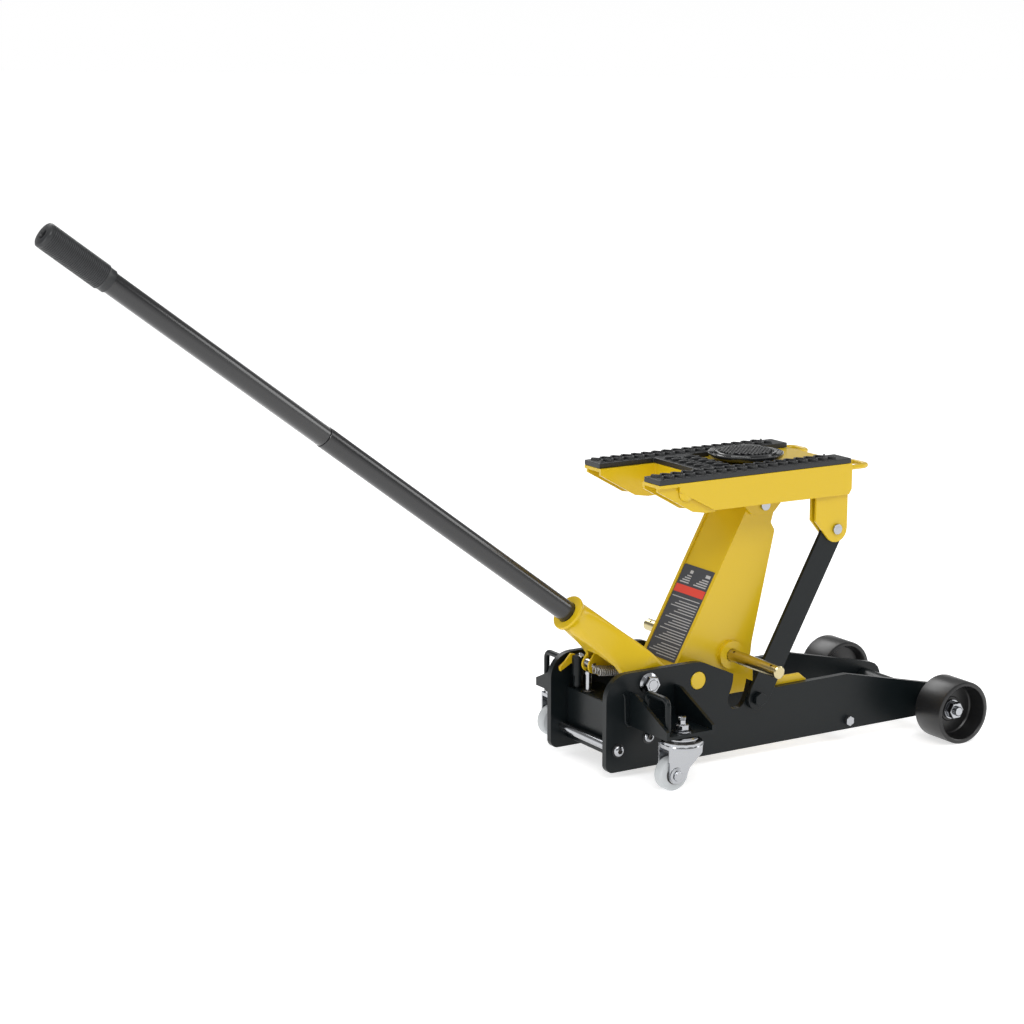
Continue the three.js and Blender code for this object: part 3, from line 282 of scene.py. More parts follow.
# ---------------------------------------------------------------- building pieces
def add_mesh(name, points, faces, material, body, sharp=32.0):
    """A piece from points in the frame, shaded smooth up to the sharp angle."""
    mesh = bpy.data.meshes.new(name)
    mesh.from_pydata([tuple(p) for p in points], [], faces)
    solid = bmesh.new()
    solid.from_mesh(mesh)
    bmesh.ops.remove_doubles(solid, verts=solid.verts, dist=0.005 * MM)
    bmesh.ops.recalc_face_normals(solid, faces=solid.faces)
    solid.to_mesh(mesh)
    solid.free()
    mesh.polygons.foreach_set("use_smooth", [True] * len(mesh.polygons))
    mesh.set_sharp_from_angle(angle=math.radians(sharp))
    mesh.materials.append(material)
    obj = bpy.data.objects.new(name, mesh)
    bpy.context.scene.collection.objects.link(obj)
    if body:
        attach(obj, body)
    return obj


def axes_of(direction):
    """The unit vector of a direction, and two unit vectors square to it."""
    axis = Vector(direction).normalized()
    across = axis.orthogonal().normalized()
    return axis, across, axis.cross(across)


def ring_section(inner, outer, low, high):
    """The closed profile of a plain washer or tube."""
    return [(inner, low), (outer, low), (outer, high), (inner, high), (inner, low)]


def lathe(name, profile, start, direction, material, body, sides=64, sharp=32.0):
    """A turned piece: profile is (radius, distance) in mm along direction from start.

    A profile that ends where it starts is a ring; any other is closed by a disc at each end.
    """
    axis, across, up = axes_of(direction)
    points = []
    for radius, distance in profile:
        for step in range(sides):
            angle = 2 * math.pi * step / sides
            rim = across * math.cos(angle) + up * math.sin(angle)
            points.append(start + axis * distance * MM + rim * radius * MM)
    faces = []
    for ring in range(len(profile) - 1):
        for step in range(sides):
            after = (step + 1) % sides
            a, b = ring * sides, (ring + 1) * sides
            faces.append((a + step, a + after, b + after, b + step))
    if profile[0] != profile[-1]:
        last = (len(profile) - 1) * sides
        faces += [tuple(range(sides)), tuple(range(last, last + sides))]
    return add_mesh(name, points, faces, material, body, sharp)


def turned_rod(name, radius, start, end, material, body, chamfer=0.8):
    length = (end - start).length / MM
    profile = [
        (radius - chamfer, 0), (radius, chamfer),
        (radius, length - chamfer), (radius - chamfer, length),
    ]
    return lathe(name, profile, start, end - start, material, body)


def prism(name, outline, low, high, place, material, body, bevel=0.0):
    """An outline of (p, q) pairs extruded from low to high; place(p, q, level) gives the point."""
    points = [place(p, q, level) for level in (low, high) for p, q in outline]
    count = len(outline)
    faces = [tuple(range(count)), tuple(range(count, 2 * count))]
    for i in range(count):
        j = (i + 1) % count
        faces.append((i, j, count + j, count + i))
    obj = add_mesh(name, points, faces, material, body)
    if bevel > 0:
        bevel_edges(obj, bevel, angle=30.0)
    return obj


def side_view(p, q, level):
    return at(p, level, q)


def top_view(p, q, level):
    return at(p, q, level)


def bar(name, points, radius, material, body, cyclic=False, sides=6):
    """A round bar along a smooth line of points in the frame."""
    curve = bpy.data.curves.new(name, "CURVE")
    curve.dimensions = "3D"
    curve.bevel_depth = radius * MM
    curve.bevel_resolution = sides
    curve.use_fill_caps = True
    line = curve.splines.new("POLY")
    line.points.add(len(points) - 1)
    for knot, point in zip(line.points, points):
        knot.co = (*point, 1)
    line.use_cyclic_u = cyclic
    line.use_smooth = True
    curve.materials.append(material)
    obj = bpy.data.objects.new(name, curve)
    bpy.context.scene.collection.objects.link(obj)
    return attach(obj, body)


def hexagon(across_flats, turn=0.0):
    radius = across_flats / math.sqrt(3)
    return [
        (radius * math.cos(turn + k * math.pi / 3), radius * math.sin(turn + k * math.pi / 3))
        for k in range(6)
    ]


def hexagon_nut(name, across_flats, centre, direction, height, material, body, turn=0.3):
    """A hexagon with softened edges, standing on centre along direction."""
    axis, across, up = axes_of(direction)
    outline = hexagon(across_flats, turn)

    def place(p, q, level):
        return centre + (across * p + up * q + axis * level) * MM

    return prism(name, outline, 0, height, place, material, body, bevel=0.9)


def rounded_path(corners, radius, steps=8):
    """Points along a polyline of frame points with its inner corners rounded."""
    path = [corners[0]]
    for before, corner, after in zip(corners, corners[1:], corners[2:]):
        start = corner + (before - corner).normalized() * radius * MM
        end = corner + (after - corner).normalized() * radius * MM
        for k in range(steps + 1):
            t = k / steps
            path.append(start * (1 - t) ** 2 + corner * 2 * t * (1 - t) + end * t ** 2)
    path.append(corners[-1])
    return path


def cut_away(obj, *tools):
    """Cuts the tools out of obj and removes them."""
    for tool in tools:
        cut = obj.modifiers.new("cut", "BOOLEAN")
        cut.operation = "DIFFERENCE"
        cut.solver = "EXACT"
        cut.object = tool
    bpy.context.view_layer.update()
    mesh = bpy.data.meshes.new_from_object(obj.evaluated_get(bpy.context.evaluated_depsgraph_get()))
    obj.modifiers.clear()
    obj.data = mesh
    for tool in tools:
        bpy.data.objects.remove(tool)
    return obj


# ---------------------------------------------------------------- front wheels and axle
def front_wheel(side, sign):
    face = FRONT_WHEEL_FACE
    back = face - FRONT_WHEEL_WIDE
    hub = face - WHEEL_RECESS
    rim = FRONT_WHEEL_R
    profile = [
        (6.5, back), (13, back), (13, back + 12), (30, back + 12), (33.5, back + 1), (34.5, back),
        (rim - 2.1, back), (rim - 0.4, back + 0.8), (rim, back + 2.4), (rim, face - 2.4),
        (rim - 0.4, face - 0.8), (rim - 2.1, face), (34.8, face), (33.9, face - 0.8), (31.5, face - 23),
        (30, hub - 0.8), (16, hub - 0.8), (15, hub), (6.5, hub), (6.5, back),
    ]
    start = at(FRONT_AXLE[0], 0, FRONT_AXLE[1])
    body = f"front_wheel_{side}"
    wheel = lathe(f"wheel_{side}", profile, start, (0, sign, 0), WHEEL_BLACK, body, sides=96)
    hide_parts(f"front_wheel_{side}")


def axle_end(side, sign):
    start = at(FRONT_AXLE[0], 0, FRONT_AXLE[1])
    face = FRONT_WHEEL_FACE - WHEEL_RECESS + 0.4
    direction = (0, sign, 0)
    washer = ring_section(6.2, 12, face, face + 2.2)
    lathe(f"axle_washer_{side}", washer, start, direction, ZINC, "frame", sharp=20)
    nut = hexagon_nut(
        f"axle_nut_{side}_hex", 19, start + Vector(direction) * (face + 2.4) * MM, direction, 9,
        ZINC, "frame",
    )
    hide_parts(f"axle_nut_{side}")
    end = [(5.9, face + 2), (5.9, face + 14.5), (5, face + 15.4)]
    lathe(f"axle_thread_{side}", end, start, direction, ZINC, "frame")
    spacer = ring_section(6.4, 13, PLATE_FACE + 0.5, FRONT_WHEEL_FACE - FRONT_WHEEL_WIDE - 0.6)
    tube = lathe(f"spacer_{side}", spacer, start, direction, BLACK, "frame")
    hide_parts(f"axle_spacer_{side}")


# ---------------------------------------------------------------- casters
def caster_wheel(side, sign):
    half = [
        (CASTER_R, 4), (CASTER_R - 0.3, 5.6), (CASTER_R - 1.4, 7.2), (CASTER_R - 3.4, 8.0), (10.2, 8.0),
        (9.5, 7.0), (6.5, 7.2), (6.2, 8.8), (3.6, 8.8),
    ]
    profile = [(radius, -distance) for radius, distance in reversed(half)] + half
    profile.append(profile[0])
    start = at(SWIVEL[0] - CASTER_TRAIL, sign * SWIVEL[1], CASTER_R)
    wheel = lathe(f"caster_tread_{side}", profile, start, (0, 1, 0), NYLON, f"caster_wheel_{side}")
    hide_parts(f"caster_wheel_{side}")


def swivel_bearing(side, sign):
    """The stacked races of the swivel, hanging under the bracket's shelf."""
    body = f"caster_{side}"
    shelf = at(SWIVEL[0], sign * SWIVEL[1], SHELF_TOP - SHELF_SHEET)
    cup = [(6, -4.4), (17.5, -4.4), (19.2, -3.4), (19.2, -2.2), (16.5, -0.6), (6, -0.6), (6, -4.4)]
    lathe(f"bearing_cup_{side}", cup, shelf, UP, ZINC, body, sharp=25)
    # The thin dark steel ring between the cup and the skirt ring is painted shade in the gap between the
    # races.
    shade_ring = ring_section(16, 22.4, -6.4, -5.2)
    lathe(f"bearing_shade_ring_{side}", shade_ring, shelf, UP, DARK_STEEL, body, sharp=25)
    skirt = [(15, -12.6), (23.6, -12.4), (24.4, -10.4), (23.6, -8.6), (15, -7.4), (15, -12.6)]
    lathe(f"bearing_ring_{side}", skirt, shelf, UP, ZINC, body, sharp=25)


def caster_stem(side, sign):
    """The washer, nut and threaded end of the swivel on top of the shelf."""
    body = f"caster_{side}"
    shelf = at(SWIVEL[0], sign * SWIVEL[1], SHELF_TOP)
    lathe(f"stem_washer_{side}", ring_section(5.6, 12, 0.2, 1.8), shelf, UP, ZINC, body, sharp=20)
    hexagon_nut(f"stem_nut_{side}", 15, shelf + UP * 2 * MM, UP, 7, ZINC, body)
    pitch = 1.1
    threads = [(4.9, 0)]
    level = 9.0
    while level < 17:
        threads += [(4.9, level), (4.4, level + pitch / 2), (4.9, level + pitch)]
        level += pitch
    threads.append((4.1, 18))
    lathe(f"stem_thread_{side}", threads, shelf, UP, ZINC, body, sides=32, sharp=60)


def wheel_ends(side, sign):
    """The ring, seal and rivet at each end of the caster wheel's axle."""
    body = f"caster_{side}"
    for end in (-1, 1):
        out = Vector((0, end, 0))
        centre = at(SWIVEL[0] - CASTER_TRAIL, sign * SWIVEL[1], CASTER_R)
        ring = [(6.4, 0), (9.4, 0), (9.4, 0.8), (6.4, 1.4), (6.4, 0)]
        lathe(f"wheel_ring_{side}_{end + 2}", ring, centre + out * 12.1 * MM, out, ZINC, body, sides=32)
        lathe(
            f"wheel_seal_{side}_{end + 2}", ring_section(10.2, 11.4, 0, 0.5), centre + out * 8.0 * MM, out,
            DARK_STEEL, f"caster_wheel_{side}", sides=48,
        )
        cap = [(5.8, 0), (5.8, 3.2), (4.6, 4.2)]
        lathe(f"wheel_rivet_{side}_{end + 2}", cap, centre + out * 12.3 * MM, out, ZINC, body, sides=32)


def bracket_weld(side, sign):
    face = sign * (PLATE_FACE + 0.6)
    seam = [(23, 104), (25.5, 99), (26, 84), (26.5, 69), (30, 64), (40, 62.5)]
    bar(f"bracket_weld_{side}", [at(x, face, z) for x, z in seam], 1.5, BLACK, "frame", sides=3)


def tie_down_loop(side, sign):
    foot, top = SHELF_TOP + 0.3, 108.4
    inner, outer = sign * 88, sign * 131
    corners = [at(41, y, z) for y, z in ((inner, foot), (inner, top), (outer, top), (outer, foot))]
    loop = bar(f"lashing_loop_{side}", rounded_path(corners, 9), 3.6, BLACK, "frame", sides=8)
    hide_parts(f"tie_down_loop_{side}")


# ---------------------------------------------------------------- screws and pins
def button_screw(name, centre, sign, head, node):
    """A button-head screw with a hexagon recess on the outside of a side plate."""
    seat = at(centre[0], sign * (PLATE_FACE + 0.3), centre[1])
    dome = [(head, 0), (head, 1.4)]
    dome += [(head * math.cos(a), 1.4 + 3.4 * math.sin(a)) for a in (0.3, 0.6, 0.9, 1.2, 1.4)]
    screw = lathe(name, dome, seat, (0, sign, 0), ZINC, "frame")
    depth = seat + Vector((0, sign * 1.6 * MM, 0))
    recess = hexagon_nut(name + "_recess", 6, depth, (0, sign, 0), 7, DARK_STEEL, None)
    recess.modifiers.clear()
    cut_away(screw, recess)
    # The dark steel hexagon on the floor of the recess is painted shade in the recess.
    floor = [(3.3, 1.7), (3.3, 1.9)]
    lathe(name + "_floor", floor, seat, (0, sign, 0), DARK_STEEL, "frame", sides=6)
    lathe(name + "_ring", ring_section(head, head + 1.6, 0.05, 0.25), seat, (0, sign, 0), GREASY, "frame")
    screw.data.set_sharp_from_angle(angle=math.radians(35))
    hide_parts(node)


def yoke_bolt(side, sign):
    seat = at(YOKE_PIVOT[0], sign * (PLATE_FACE + 0.3), YOKE_PIVOT[1])
    out = Vector((0, sign, 0))
    flange = [(12.6, 0), (12.6, 1.2), (10.6, 2.4), (9.0, 3.4)]
    lathe(f"yoke_flange_{side}", flange, seat, out, ZINC, "frame")
    head = hexagon_nut(f"yoke_head_{side}", 18, seat + out * 2.2 * MM, out, 8.4, ZINC, "frame", turn=0.15)
    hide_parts(f"yoke_bolt_{side}")
    dish = [(7.2, 10.4), (6.4, 10.9), (5.6, 10.4)]
    lathe(f"yoke_dish_{side}", dish, seat, out, ZINC, "frame", sides=32)


def lock_pin():
    half = 137.3
    profile = [(6.4, -half), (7.7, -half + 1.2), (7.7, half - 1.2), (6.4, half)]
    pin = lathe("lock_pin_bar", profile, at(LOCK_PIN[0], 0, LOCK_PIN[1]), (0, 1, 0), YELLOW_ZINC, None)
    holes = []
    for k, y in enumerate((-half + 12, -52, 52, half - 12)):
        start = at(LOCK_PIN[0] - 6, y, LOCK_PIN[1] + 10)
        end = at(LOCK_PIN[0] + 6, y, LOCK_PIN[1] - 10)
        holes.append(turned_rod(f"pin_hole_{k}", 1.7, start, end, YELLOW_ZINC, None, chamfer=0))
    cut_away(pin, *holes)
    pin.data.set_sharp_from_angle(angle=math.radians(35))
    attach(pin, "lock_pin")
    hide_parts("lock_pin")


def arm_shaft():
    end, shoulder = PLATE_FACE + 0.9, PLATE_FACE + 0.1
    profile = [(9.6, -end), (10.6, -shoulder), (10.6, shoulder), (9.6, end)]
    shaft = lathe("arm_shaft", profile, at(ARM_PIVOT[0], 0, ARM_PIVOT[1]), (0, 1, 0), YELLOW, "lift_arm")
    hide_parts("arm_pivot_shaft")


def rear_tie_rod():
    reach = 56.2
    start, end = at(TIE_ROD[0], -reach, TIE_ROD[1]), at(TIE_ROD[0], reach, TIE_ROD[1])
    rod = turned_rod("tie_rod", 5.9, start, end, ZINC, "frame", chamfer=0.2)
    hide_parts("rear_tie_rod")


# ---------------------------------------------------------------- rubber mat
def tread_wedge(corners, base, top):
    """A block of tread: its corners in plan, drawn in a little towards its top."""
    middle_x = sum(p[0] for p in corners) / len(corners)
    middle_y = sum(p[1] for p in corners) / len(corners)
    inner = [(middle_x + (x - middle_x) * 0.8, middle_y + (y - middle_y) * 0.8) for x, y in corners]
    return [at(x, y, base) for x, y in corners] + [at(x, y, top) for x, y in inner]


def add_wedge(points, faces, corners, base, top):
    start, count = len(points), len(corners)
    points.extend(tread_wedge(corners, base, top))
    faces.append(tuple(start + count + k for k in range(count)))
    for k in range(count):
        after = (k + 1) % count
        faces.append((start + k, start + after, start + count + after, start + count + k))


def rubber_mat():
    base_top = PLATFORM_TOP + 6.4
    inner = TONGUE_INNER
    outline = [
        (PLATFORM_REAR, -PLATFORM_HALF), (MAT_FRONT, -PLATFORM_HALF), (MAT_FRONT, -inner),
        (MAT_CROSS_FRONT, -inner), (MAT_CROSS_FRONT, inner), (MAT_FRONT, inner), (MAT_FRONT, PLATFORM_HALF),
        (PLATFORM_REAR, PLATFORM_HALF), (PLATFORM_REAR, inner), (NOTCH_FRONT, inner), (NOTCH_FRONT, -inner),
        (PLATFORM_REAR, -inner),
    ]
    slab = prism("mat_base", outline, PLATFORM_TOP + 0.3, base_top, top_view, RUBBER, "platform", bevel=0.8)
    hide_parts("rubber_mat")
    points, faces = [], []

    def lug(corners):
        add_wedge(points, faces, corners, base_top - 0.2, MAT_TOP)

    def zigzag(start, step, count, edge, tip, width):
        """Ridges running from an edge line to a tip line and back."""
        (ex, ey), (tx, ty) = edge, tip
        for k in range(2 * count):
            here, there = (k % 2, (k + 1) % 2)
            a = (ex + (tx - ex) * here, ey + (ty - ey) * here)
            b = (ex + (tx - ex) * there, ey + (ty - ey) * there)
            along = Vector((step[0] * 0.5, step[1] * 0.5))
            p = Vector(start) + Vector(a) + along * k
            q = Vector(start) + Vector(b) + along * (k + 1)
            side = Vector((-(q - p).y, (q - p).x)).normalized() * width
            lug([tuple(p - side), tuple(q - side), tuple(q + side), tuple(p + side)])

    pitch, margin, half_width = 15.0, 4.5, 1.5
    rows = int((MAT_FRONT - PLATFORM_REAR - 12) / pitch)
    start = (PLATFORM_REAR + 6, 0)
    for sign in (-1, 1):
        outer, middle = sign * (PLATFORM_HALF - margin), sign * (PLATFORM_HALF + inner) / 2
        zigzag(start, (pitch, 0), rows, (0, outer), (0, middle + sign * 2.6), half_width)
        zigzag(start, (pitch, 0), rows, (0, sign * (inner + margin)), (0, middle - sign * 2.6), half_width)
    columns = int((2 * inner - 8) / pitch)
    start = (0, -inner + 4)
    for edge, inward in ((NOTCH_FRONT, 1), (MAT_CROSS_FRONT, -1)):
        ends = (edge + inward * margin, 0), (edge + inward * 24, 0)
        zigzag(start, (0, pitch), columns, *ends, half_width)
    tread = add_mesh("mat_tread", points, faces, RUBBER, "platform", sharp=20)
    bevel_edges(tread, 0.5, segments=2)


# ---------------------------------------------------------------- saddle
def waffle(name, radius, pitch, low, top, place, material, body):
    """A round field of small square studs."""
    points, faces = [], []
    count = int(radius / pitch) + 1
    for i in range(-count, count + 1):
        for j in range(-count, count + 1):
            x, y = i * pitch, j * pitch
            if math.hypot(x, y) > radius:
                continue
            start = len(points)
            for half, level in ((pitch * 0.38, low), (pitch * 0.27, top)):
                for sx, sy in ((-1, -1), (1, -1), (1, 1), (-1, 1)):
                    points.append(place(x + sx * half, y + sy * half, level))
            faces.append((start + 4, start + 5, start + 6, start + 7))
            for k in range(4):
                n = (k + 1) % 4
                faces.append((start + k, start + n, start + 4 + n, start + 4 + k))
    return add_mesh(name, points, faces, material, body, sharp=20)


def saddle():
    """A turned dish, with heights above the deck, and its studs and rim lugs."""
    cup = [
        (12, -15), (12, 0.6), (30, 0.6), (33, 3), (41, 4.4), (45, 6.6), (46, 8.4), (46, 10.6),
        (45.4, 11.4), (43.5, 11.2), (40.5, 9.6), (38.4, 9.4), (37.4, 10.2), (37.0, 12.2), (36.2, 12.9),
        (34.5, 12.6), (34.0, 11.0),
    ]
    dish = lathe("saddle_cup", cup, at(SADDLE_X, 0, PLATFORM_TOP), UP, SADDLE_BLACK, "saddle", sides=96)
    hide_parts("saddle")

    def on_saddle(x, y, level):
        return at(SADDLE_X + x, y, PLATFORM_TOP + level)

    waffle("saddle_studs", 31.5, 5.6, 10.8, 14, on_saddle, SADDLE_BLACK, "saddle")
    for k in range(4):
        angle = math.radians(45 + 90 * k)
        radial = LEANED @ Vector((math.cos(angle), math.sin(angle), 0))
        side = LEANED @ Vector((-math.sin(angle), math.cos(angle), 0))
        outline = [(38.5, -12), (44.4, -12), (45.6, -8), (45.6, 8), (44.4, 12), (38.5, 12)]

        def place(p, q, level, radial=radial, side=side):
            return on_saddle(0, 0, level) + (radial * p + side * q) * MM

        lug = prism(f"saddle_lug_{k}", outline, 8, 12.6, place, SADDLE_BLACK, "saddle")
        bevel_edges(lug, 1.6)


# ---------------------------------------------------------------- platform details
def platform_loop(side, sign):
    z = PLATFORM_TOP - 6
    inner, outer = sign * 42, sign * 76
    root, reach = 344.3, 373
    corners = [at(x, y, z) for x, y in ((root, inner), (reach, inner), (reach, outer), (root, outer))]
    loop = bar(f"deck_loop_{side}", rounded_path(corners, 12), 3, YELLOW, "platform", sides=8)
    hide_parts(f"platform_loop_{side}")


# ---------------------------------------------------------------- data label
def data_label():
    """A red band, with plain grey bars in place of writing."""
    lift = ARM_BACK + 1.05

    def strip(name, low, high, right, left, material):
        outline = [(low, right), (high, right), (high, left), (low, left)]
        prism(name, outline, lift - 0.1, lift, on_arm, material, "lift_arm")

    strip("label_band", 91, 101, -30, 30, LABEL_RED)
    edge = 86.0
    row = 0
    while edge > 12:
        length = 56 - (row * 17) % 23
        strip(f"label_line_{row}", edge - 1.0, edge, -28, -28 + length, LABEL_LINE)
        edge -= 3.4 if row % 5 else 4.8
        row += 1
    bars = ((104, 105.4), (107, 108.4), (110, 111.4), (113, 114.4), (117, 121))
    for k, (low, high) in enumerate(bars):
        strip(f"label_head_{k}", low, high, -27, -2 - 4 * k, LABEL_LINE)
        strip(f"label_side_{k}", low, high, 8, 26 - 3 * k, LABEL_LINE)


# ---------------------------------------------------------------- handle
def handle_tubes():
    low, joint = LOWER_TUBE
    lower = [
        (10.8, low), (12.7, low), (12.7, joint - 0.6), (12.3, joint), (10.8, joint), (10.8, low),
    ]
    tube = lathe("lower_tube", lower, HANDLE_START, HANDLE_DIRECTION, TUBE_BLACK, "handle_bar")
    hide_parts("handle_tube_lower")
    low, high = UPPER_TUBE
    upper = [
        (8.1, low), (10.4, low), (10.4, joint + 0.3), (11.7, joint + 0.3), (12, joint + 1), (12, high),
        (8.1, high), (8.1, low),
    ]
    tube = lathe("upper_tube", upper, HANDLE_START, HANDLE_DIRECTION, TUBE_BLACK, "handle_bar")
    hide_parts("handle_tube_upper")


def handle_grip():
    """A rubber sleeve: a plain collar, fine ribs and a rounded end."""
    end = UPPER_TUBE[1]
    low = GRIP_START
    profile = [(12.3, low), (13.3, low), (13.3, low + 7), (14.2, low + 9)]
    rib = low + 9
    while rib < end - 3:
        profile += [(14.5, rib + 0.3), (14.5, rib + 1.1), (14.05, rib + 1.4), (14.05, rib + 1.9)]
        rib += 2.2
    profile += [
        (14.5, end), (14.2, end + 2.6), (12.5, end + 4), (6, end + 4), (5, end + 2), (5, end + 0.4),
        (12.3, end + 0.4), (12.3, low),
    ]
    cover = lathe("grip_cover", profile, HANDLE_START, HANDLE_DIRECTION, RUBBER, "handle_bar", sharp=45)
    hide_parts("handle_grip")


def loft(name, sections, material):
    """A body through rounded sections on the handle: (u, half width, low, high, squareness)."""
    sides = 72
    points = []
    for u, half, low, high, power in sections:
        middle, tall = (low + high) / 2, (high - low) / 2
        for k in range(sides):
            angle = 2 * math.pi * (k + 0.5) / sides
            c, s = math.cos(angle), math.sin(angle)
            y = half * math.copysign(abs(c) ** (2 / power), c)
            n = middle + tall * math.copysign(abs(s) ** (2 / power), s)
            points.append(on_handle(u, y, n))
    faces = []
    for ring in range(len(sections) - 1):
        for k in range(sides):
            j = (k + 1) % sides
            a, b = ring * sides, (ring + 1) * sides
            faces.append((a + k, a + j, b + j, b + k))
    last = (len(sections) - 1) * sides
    faces += [tuple(range(sides)), tuple(range(last, last + sides))]
    return add_mesh(name, points, faces, material, None, sharp=40)


def handle_socket():
    n = HANDLE_OFFSET
    outer = loft("socket_casting", [
        (107, 21.4, n - 21.4, n + 21.4, 2), (106, 22, n - 22, n + 22, 2), (103.4, 22, n - 22, n + 22, 2),
        (101, 20.2, n - 20.2, n + 20.2, 2), (98, 19.2, n - 19.2, n + 19.2, 2),
        (90, 19.4, n - 19.2, n + 19.0, 2.6), (80, 20.4, n - 19.6, n + 18.6, 3.6),
        (64, 22.6, 1.6, n + 18.0, 5), (50, 26.0, 0.6, n + 17.4, 6.5), (40, 29.6, -0.6, n + 16.8, 8),
        (28, 35.5, -2.5, n + 16.2, 10), (17, 41.5, -8.0, n + 15.4, 11), (7, 47.5, -13, n + 14.3, 12),
        (0, 49, -14, n + 13.6, 12), (-10, 49, -13, n + 12.3, 12), (-20, 49, -2, n + 10.7, 12),
        (-28, 49, 8, n + 9.3, 12),
    ], YELLOW)
    pocket = loft("socket_pocket", [
        (46, 12, -30, 4, 5), (40, 16, -30, 9, 6), (28, 28.5, -30, 22, 8), (7, 40, -30, 27, 10),
        (-40, 41, -30, 22, 10),
    ], YELLOW)
    bore_profile = [(13.2, 0), (13.2, 67), (13.8, 67.6), (13.8, 80)]
    bore = lathe("socket_bore", bore_profile, on_handle(40, 0, n), HANDLE_DIRECTION, YELLOW, None)
    cut_away(outer, pocket, bore)
    outer.data.set_sharp_from_angle(angle=math.radians(40))
    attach(outer, "handle_socket")
    bevel_edges(outer, 0.8, angle=50, segments=2)
    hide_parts("handle_socket")


def roller_lugs():
    """Two cheeks under the socket that hold the pump roller between them."""
    roller, radius = (19.9, -8.7), 9.6
    outline = []
    for step in range(13):
        angle = math.pi + math.pi * step / 12
        outline.append((roller[0] + radius * math.cos(angle), roller[1] + radius * math.sin(angle)))
    outline += [(31, 24), (8, 26)]

    def cheek(p, q, level):
        return on_handle(p, level, q)

    for k, middle in enumerate((PUMP_Y - 6.7, PUMP_Y + 6.7)):
        low, high = middle - 1.5, middle + 1.5
        lug = prism(f"roller_lug_{k}", outline, low, high, cheek, YELLOW, "handle_socket")
        bevel_edges(lug, 0.6)


# ---------------------------------------------------------------- hydraulics in view
def spring(name, start, end, radius, wire, turns, material, body):
    across, up = axes_of(end - start)[1:]
    points = []
    steps = turns * 16
    for k in range(steps + 1):
        angle = 2 * math.pi * turns * k / steps
        rim = across * math.cos(angle) + up * math.sin(angle)
        points.append(start + (end - start) * (k / steps) + rim * radius * MM)
    return bar(name, points, wire, material, body, sides=3)


def return_springs():
    """Two springs from the handle's yoke to posts on the hydraulic block."""
    for k, y in enumerate((-3, 8)):
        spring(f"return_spring_{k}", at(29, y, 115), at(72, y, 109), 4.4, 1.0, 14, SPRING_STEEL, "frame")
        foot, head = at(74, y, BLOCK_TOP - 0.2), at(74, y, 112)
        turned_rod(f"spring_post_{k}", 3.2, foot, head, DARK_STEEL, "frame")


def block_fittings():
    """The filler bolt on its seat, and the valve housing."""
    plug = at(44, -30, BLOCK_TOP)
    lathe("filler_seat", [(9, 0), (9, 4), (8, 5)], plug, UP, GREASY, "frame")
    hexagon_nut("filler_bolt", 11, plug + UP * 5 * MM, UP, 7, DARK_STEEL, "frame")
    outline = [(31, -47), (62, -47), (62, -18), (31, -18)]
    housing = prism("valve_housing", outline, BLOCK_TOP, 98, top_view, GREASY, "frame")
    bevel_edges(housing, 2)


def release_gear():
    """The knuckle on the release shaft, and the small lever beside it."""
    knuckle = [(7.4, 100), (7.4, 123), (6.4, 124)]
    lathe("release_knuckle", knuckle, at(32, 46.5, 0), UP, BLACK, "release_shaft", sides=32)
    hexagon_nut("joint_bolt", 7, at(33, 43, 122), (0.2, -0.5, 0.85), 4.4, ZINC, "release_shaft")
    outline = [(30, 114), (30, 125), (24, 126.5), (16, 118), (8, 111.5), (9, 106), (17, 110), (24, 114)]
    lever = prism("release_lever", outline, 49, 52.5, side_view, YELLOW, "frame")
    bevel_edges(lever, 0.8)
    hexagon_nut("lever_bolt", 7, at(13, 52.6, 110), (0, 1, 0), 3, RUST, "frame")


# ---------------------------------------------------------------- pin head and bosses
def pin_head(name, centre, face, radius, body):
    """The domed head of a pin standing on a face on the right side."""
    dome = [(radius - 0.6, 0), (radius, 0.5), (radius, 1.8), (radius - 1.0, 2.9), (radius - 3.2, 3.2)]
    lathe(name, dome, at(centre[0], -face, centre[1]), (0, -1, 0), ZINC, body)


def skirt_boss(side, sign):
    """Rounded boss pressed into the rear corner of each skirt."""
    dome = [(11, 0), (10.4, 1.2), (8.6, 2.4), (5, 3.2)]
    seat = at(102, sign * (PLATFORM_HALF - 3.4), 337)
    lathe(f"skirt_boss_{side}", dome, seat, (0, sign, 0), YELLOW, "platform")


for side, sign in SIDES:
    front_wheel(side, sign)
    axle_end(side, sign)
    caster_wheel(side, sign)
    swivel_bearing(side, sign)
    caster_stem(side, sign)
    wheel_ends(side, sign)
    bracket_weld(side, sign)
    tie_down_loop(side, sign)
    button_screw(f"rod_screw_{side}", TIE_ROD, sign, 7.0, f"tie_rod_screw_{side}")
    button_screw(f"unit_screw_{side}", BLOCK_SCREW, sign, 6.8, f"block_screw_{side}")
    yoke_bolt(side, sign)
    platform_loop(side, sign)
    skirt_boss(side, sign)
lock_pin()
arm_shaft()
rear_tie_rod()
rubber_mat()
saddle()
data_label()
handle_tubes()
handle_grip()
handle_socket()
roller_lugs()
return_springs()
block_fittings()
release_gear()
pin_head("link_pin_head", LINK_HEAD, 75.4, 6.3, "platform")


# ---------------------------------------------------------------- floor, light and camera
def add_light(name, location, target, size, power, colour=(1, 1, 1)):
    light = bpy.data.lights.new(name, "AREA")
    light.shape = "RECTANGLE"
    light.size, light.size_y = size
    light.energy = power
    light.color = colour
    obj = bpy.data.objects.new(name, light)
    bpy.context.scene.collection.objects.link(obj)
    obj.location = location
    obj.rotation_euler = (Vector(target) - Vector(location)).to_track_quat("-Z", "Y").to_euler()


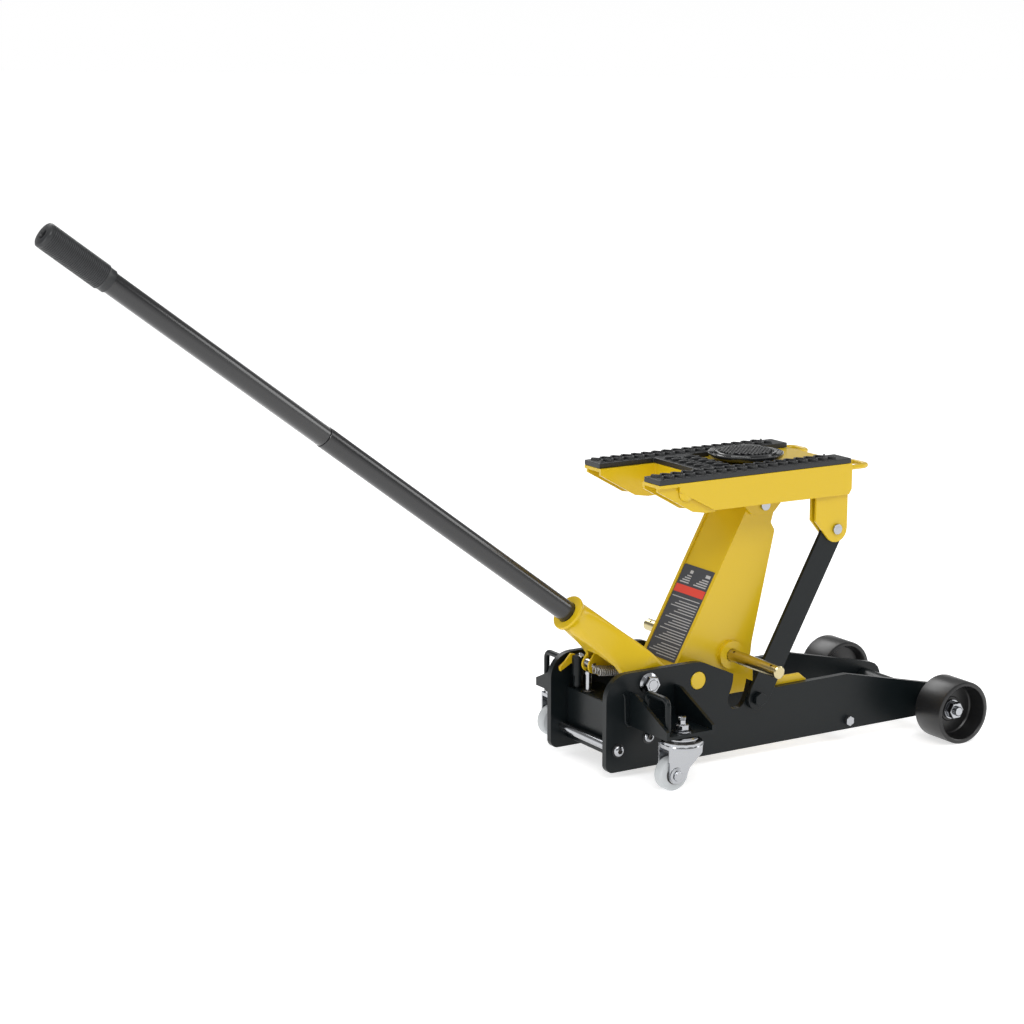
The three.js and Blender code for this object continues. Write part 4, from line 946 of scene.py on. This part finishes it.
def sky():
    """Grey walls with a bright band at the horizon and a bright ceiling."""
    world = bpy.data.worlds.new("studio")
    bpy.context.scene.world = world
    world.use_nodes = True
    nodes, links = world.node_tree.nodes, world.node_tree.links
    place = nodes.new("ShaderNodeTexCoord")
    split = nodes.new("ShaderNodeSeparateXYZ")
    bands = nodes.new("ShaderNodeValToRGB")
    ramp = bands.color_ramp
    for element, level in zip(ramp.elements, (1.0, 0.95)):
        element.color = (level, level, level, 1)
    for position, level in ((0.1, 0.95), (0.2, 0.28), (0.5, 0.25), (0.72, 0.8)):
        ramp.elements.new(position).color = (level, level, level, 1)
    links.new(place.outputs["Generated"], split.inputs["Vector"])
    links.new(split.outputs["Z"], bands.inputs["Fac"])
    links.new(bands.outputs["Color"], nodes["Background"].inputs["Color"])
    nodes["Background"].inputs["Strength"].default_value = 1.0


def studio():
    floor_mesh = bpy.data.meshes.new("floor")
    reach = 40.0
    floor_mesh.from_pydata(
        [(-reach, -reach, 0), (reach, -reach, 0), (reach, reach, 0), (-reach, reach, 0)], [], [(0, 1, 2, 3)],
    )
    pale, shader = shader_of("floor")
    shader.inputs["Base Color"].default_value = (0.72, 0.72, 0.72, 1)
    shader.inputs["Roughness"].default_value = 0.8
    shader.inputs["Emission Color"].default_value = (1, 1, 1, 1)
    shader.inputs["Emission Strength"].default_value = 0.62
    floor_mesh.materials.append(pale)
    floor = bpy.data.objects.new("floor", floor_mesh)
    bpy.context.scene.collection.objects.link(floor)
    sky()
    middle = (0.1, 0.0, 0.25)
    add_light("key", (-0.6, -2.2, 2.6), middle, (1.8, 1.2), 36)
    add_light("rim", (0.4, 2.4, 2.2), middle, (2.2, 1.0), 30)
    add_light("front", (2.6, -0.8, 1.2), middle, (1.2, 1.2), 14)
    add_light("low", (-2.4, -0.6, 0.9), middle, (1.0, 1.4), 16)


def camera():
    """A long lens to the right and rear of the jack, placed in the jack's own layout."""
    lens = bpy.data.cameras.new("camera")
    lens.lens = 87.87
    lens.sensor_width = 36.0
    lens.clip_end = 100
    obj = bpy.data.objects.new("camera", lens)
    bpy.context.scene.collection.objects.link(obj)
    place = Vector((-1553.3, -2402.5, 898.1))
    target = Vector((-89.34, 0, 320.97))
    turn = (target - place).to_track_quat("-Z", "Y").to_matrix()
    obj.location = at(*place)
    obj.rotation_euler = (LEANED @ turn).to_euler()
    bpy.context.scene.camera = obj


studio()
camera()
bpy.context.scene.view_settings.view_transform = "Standard"
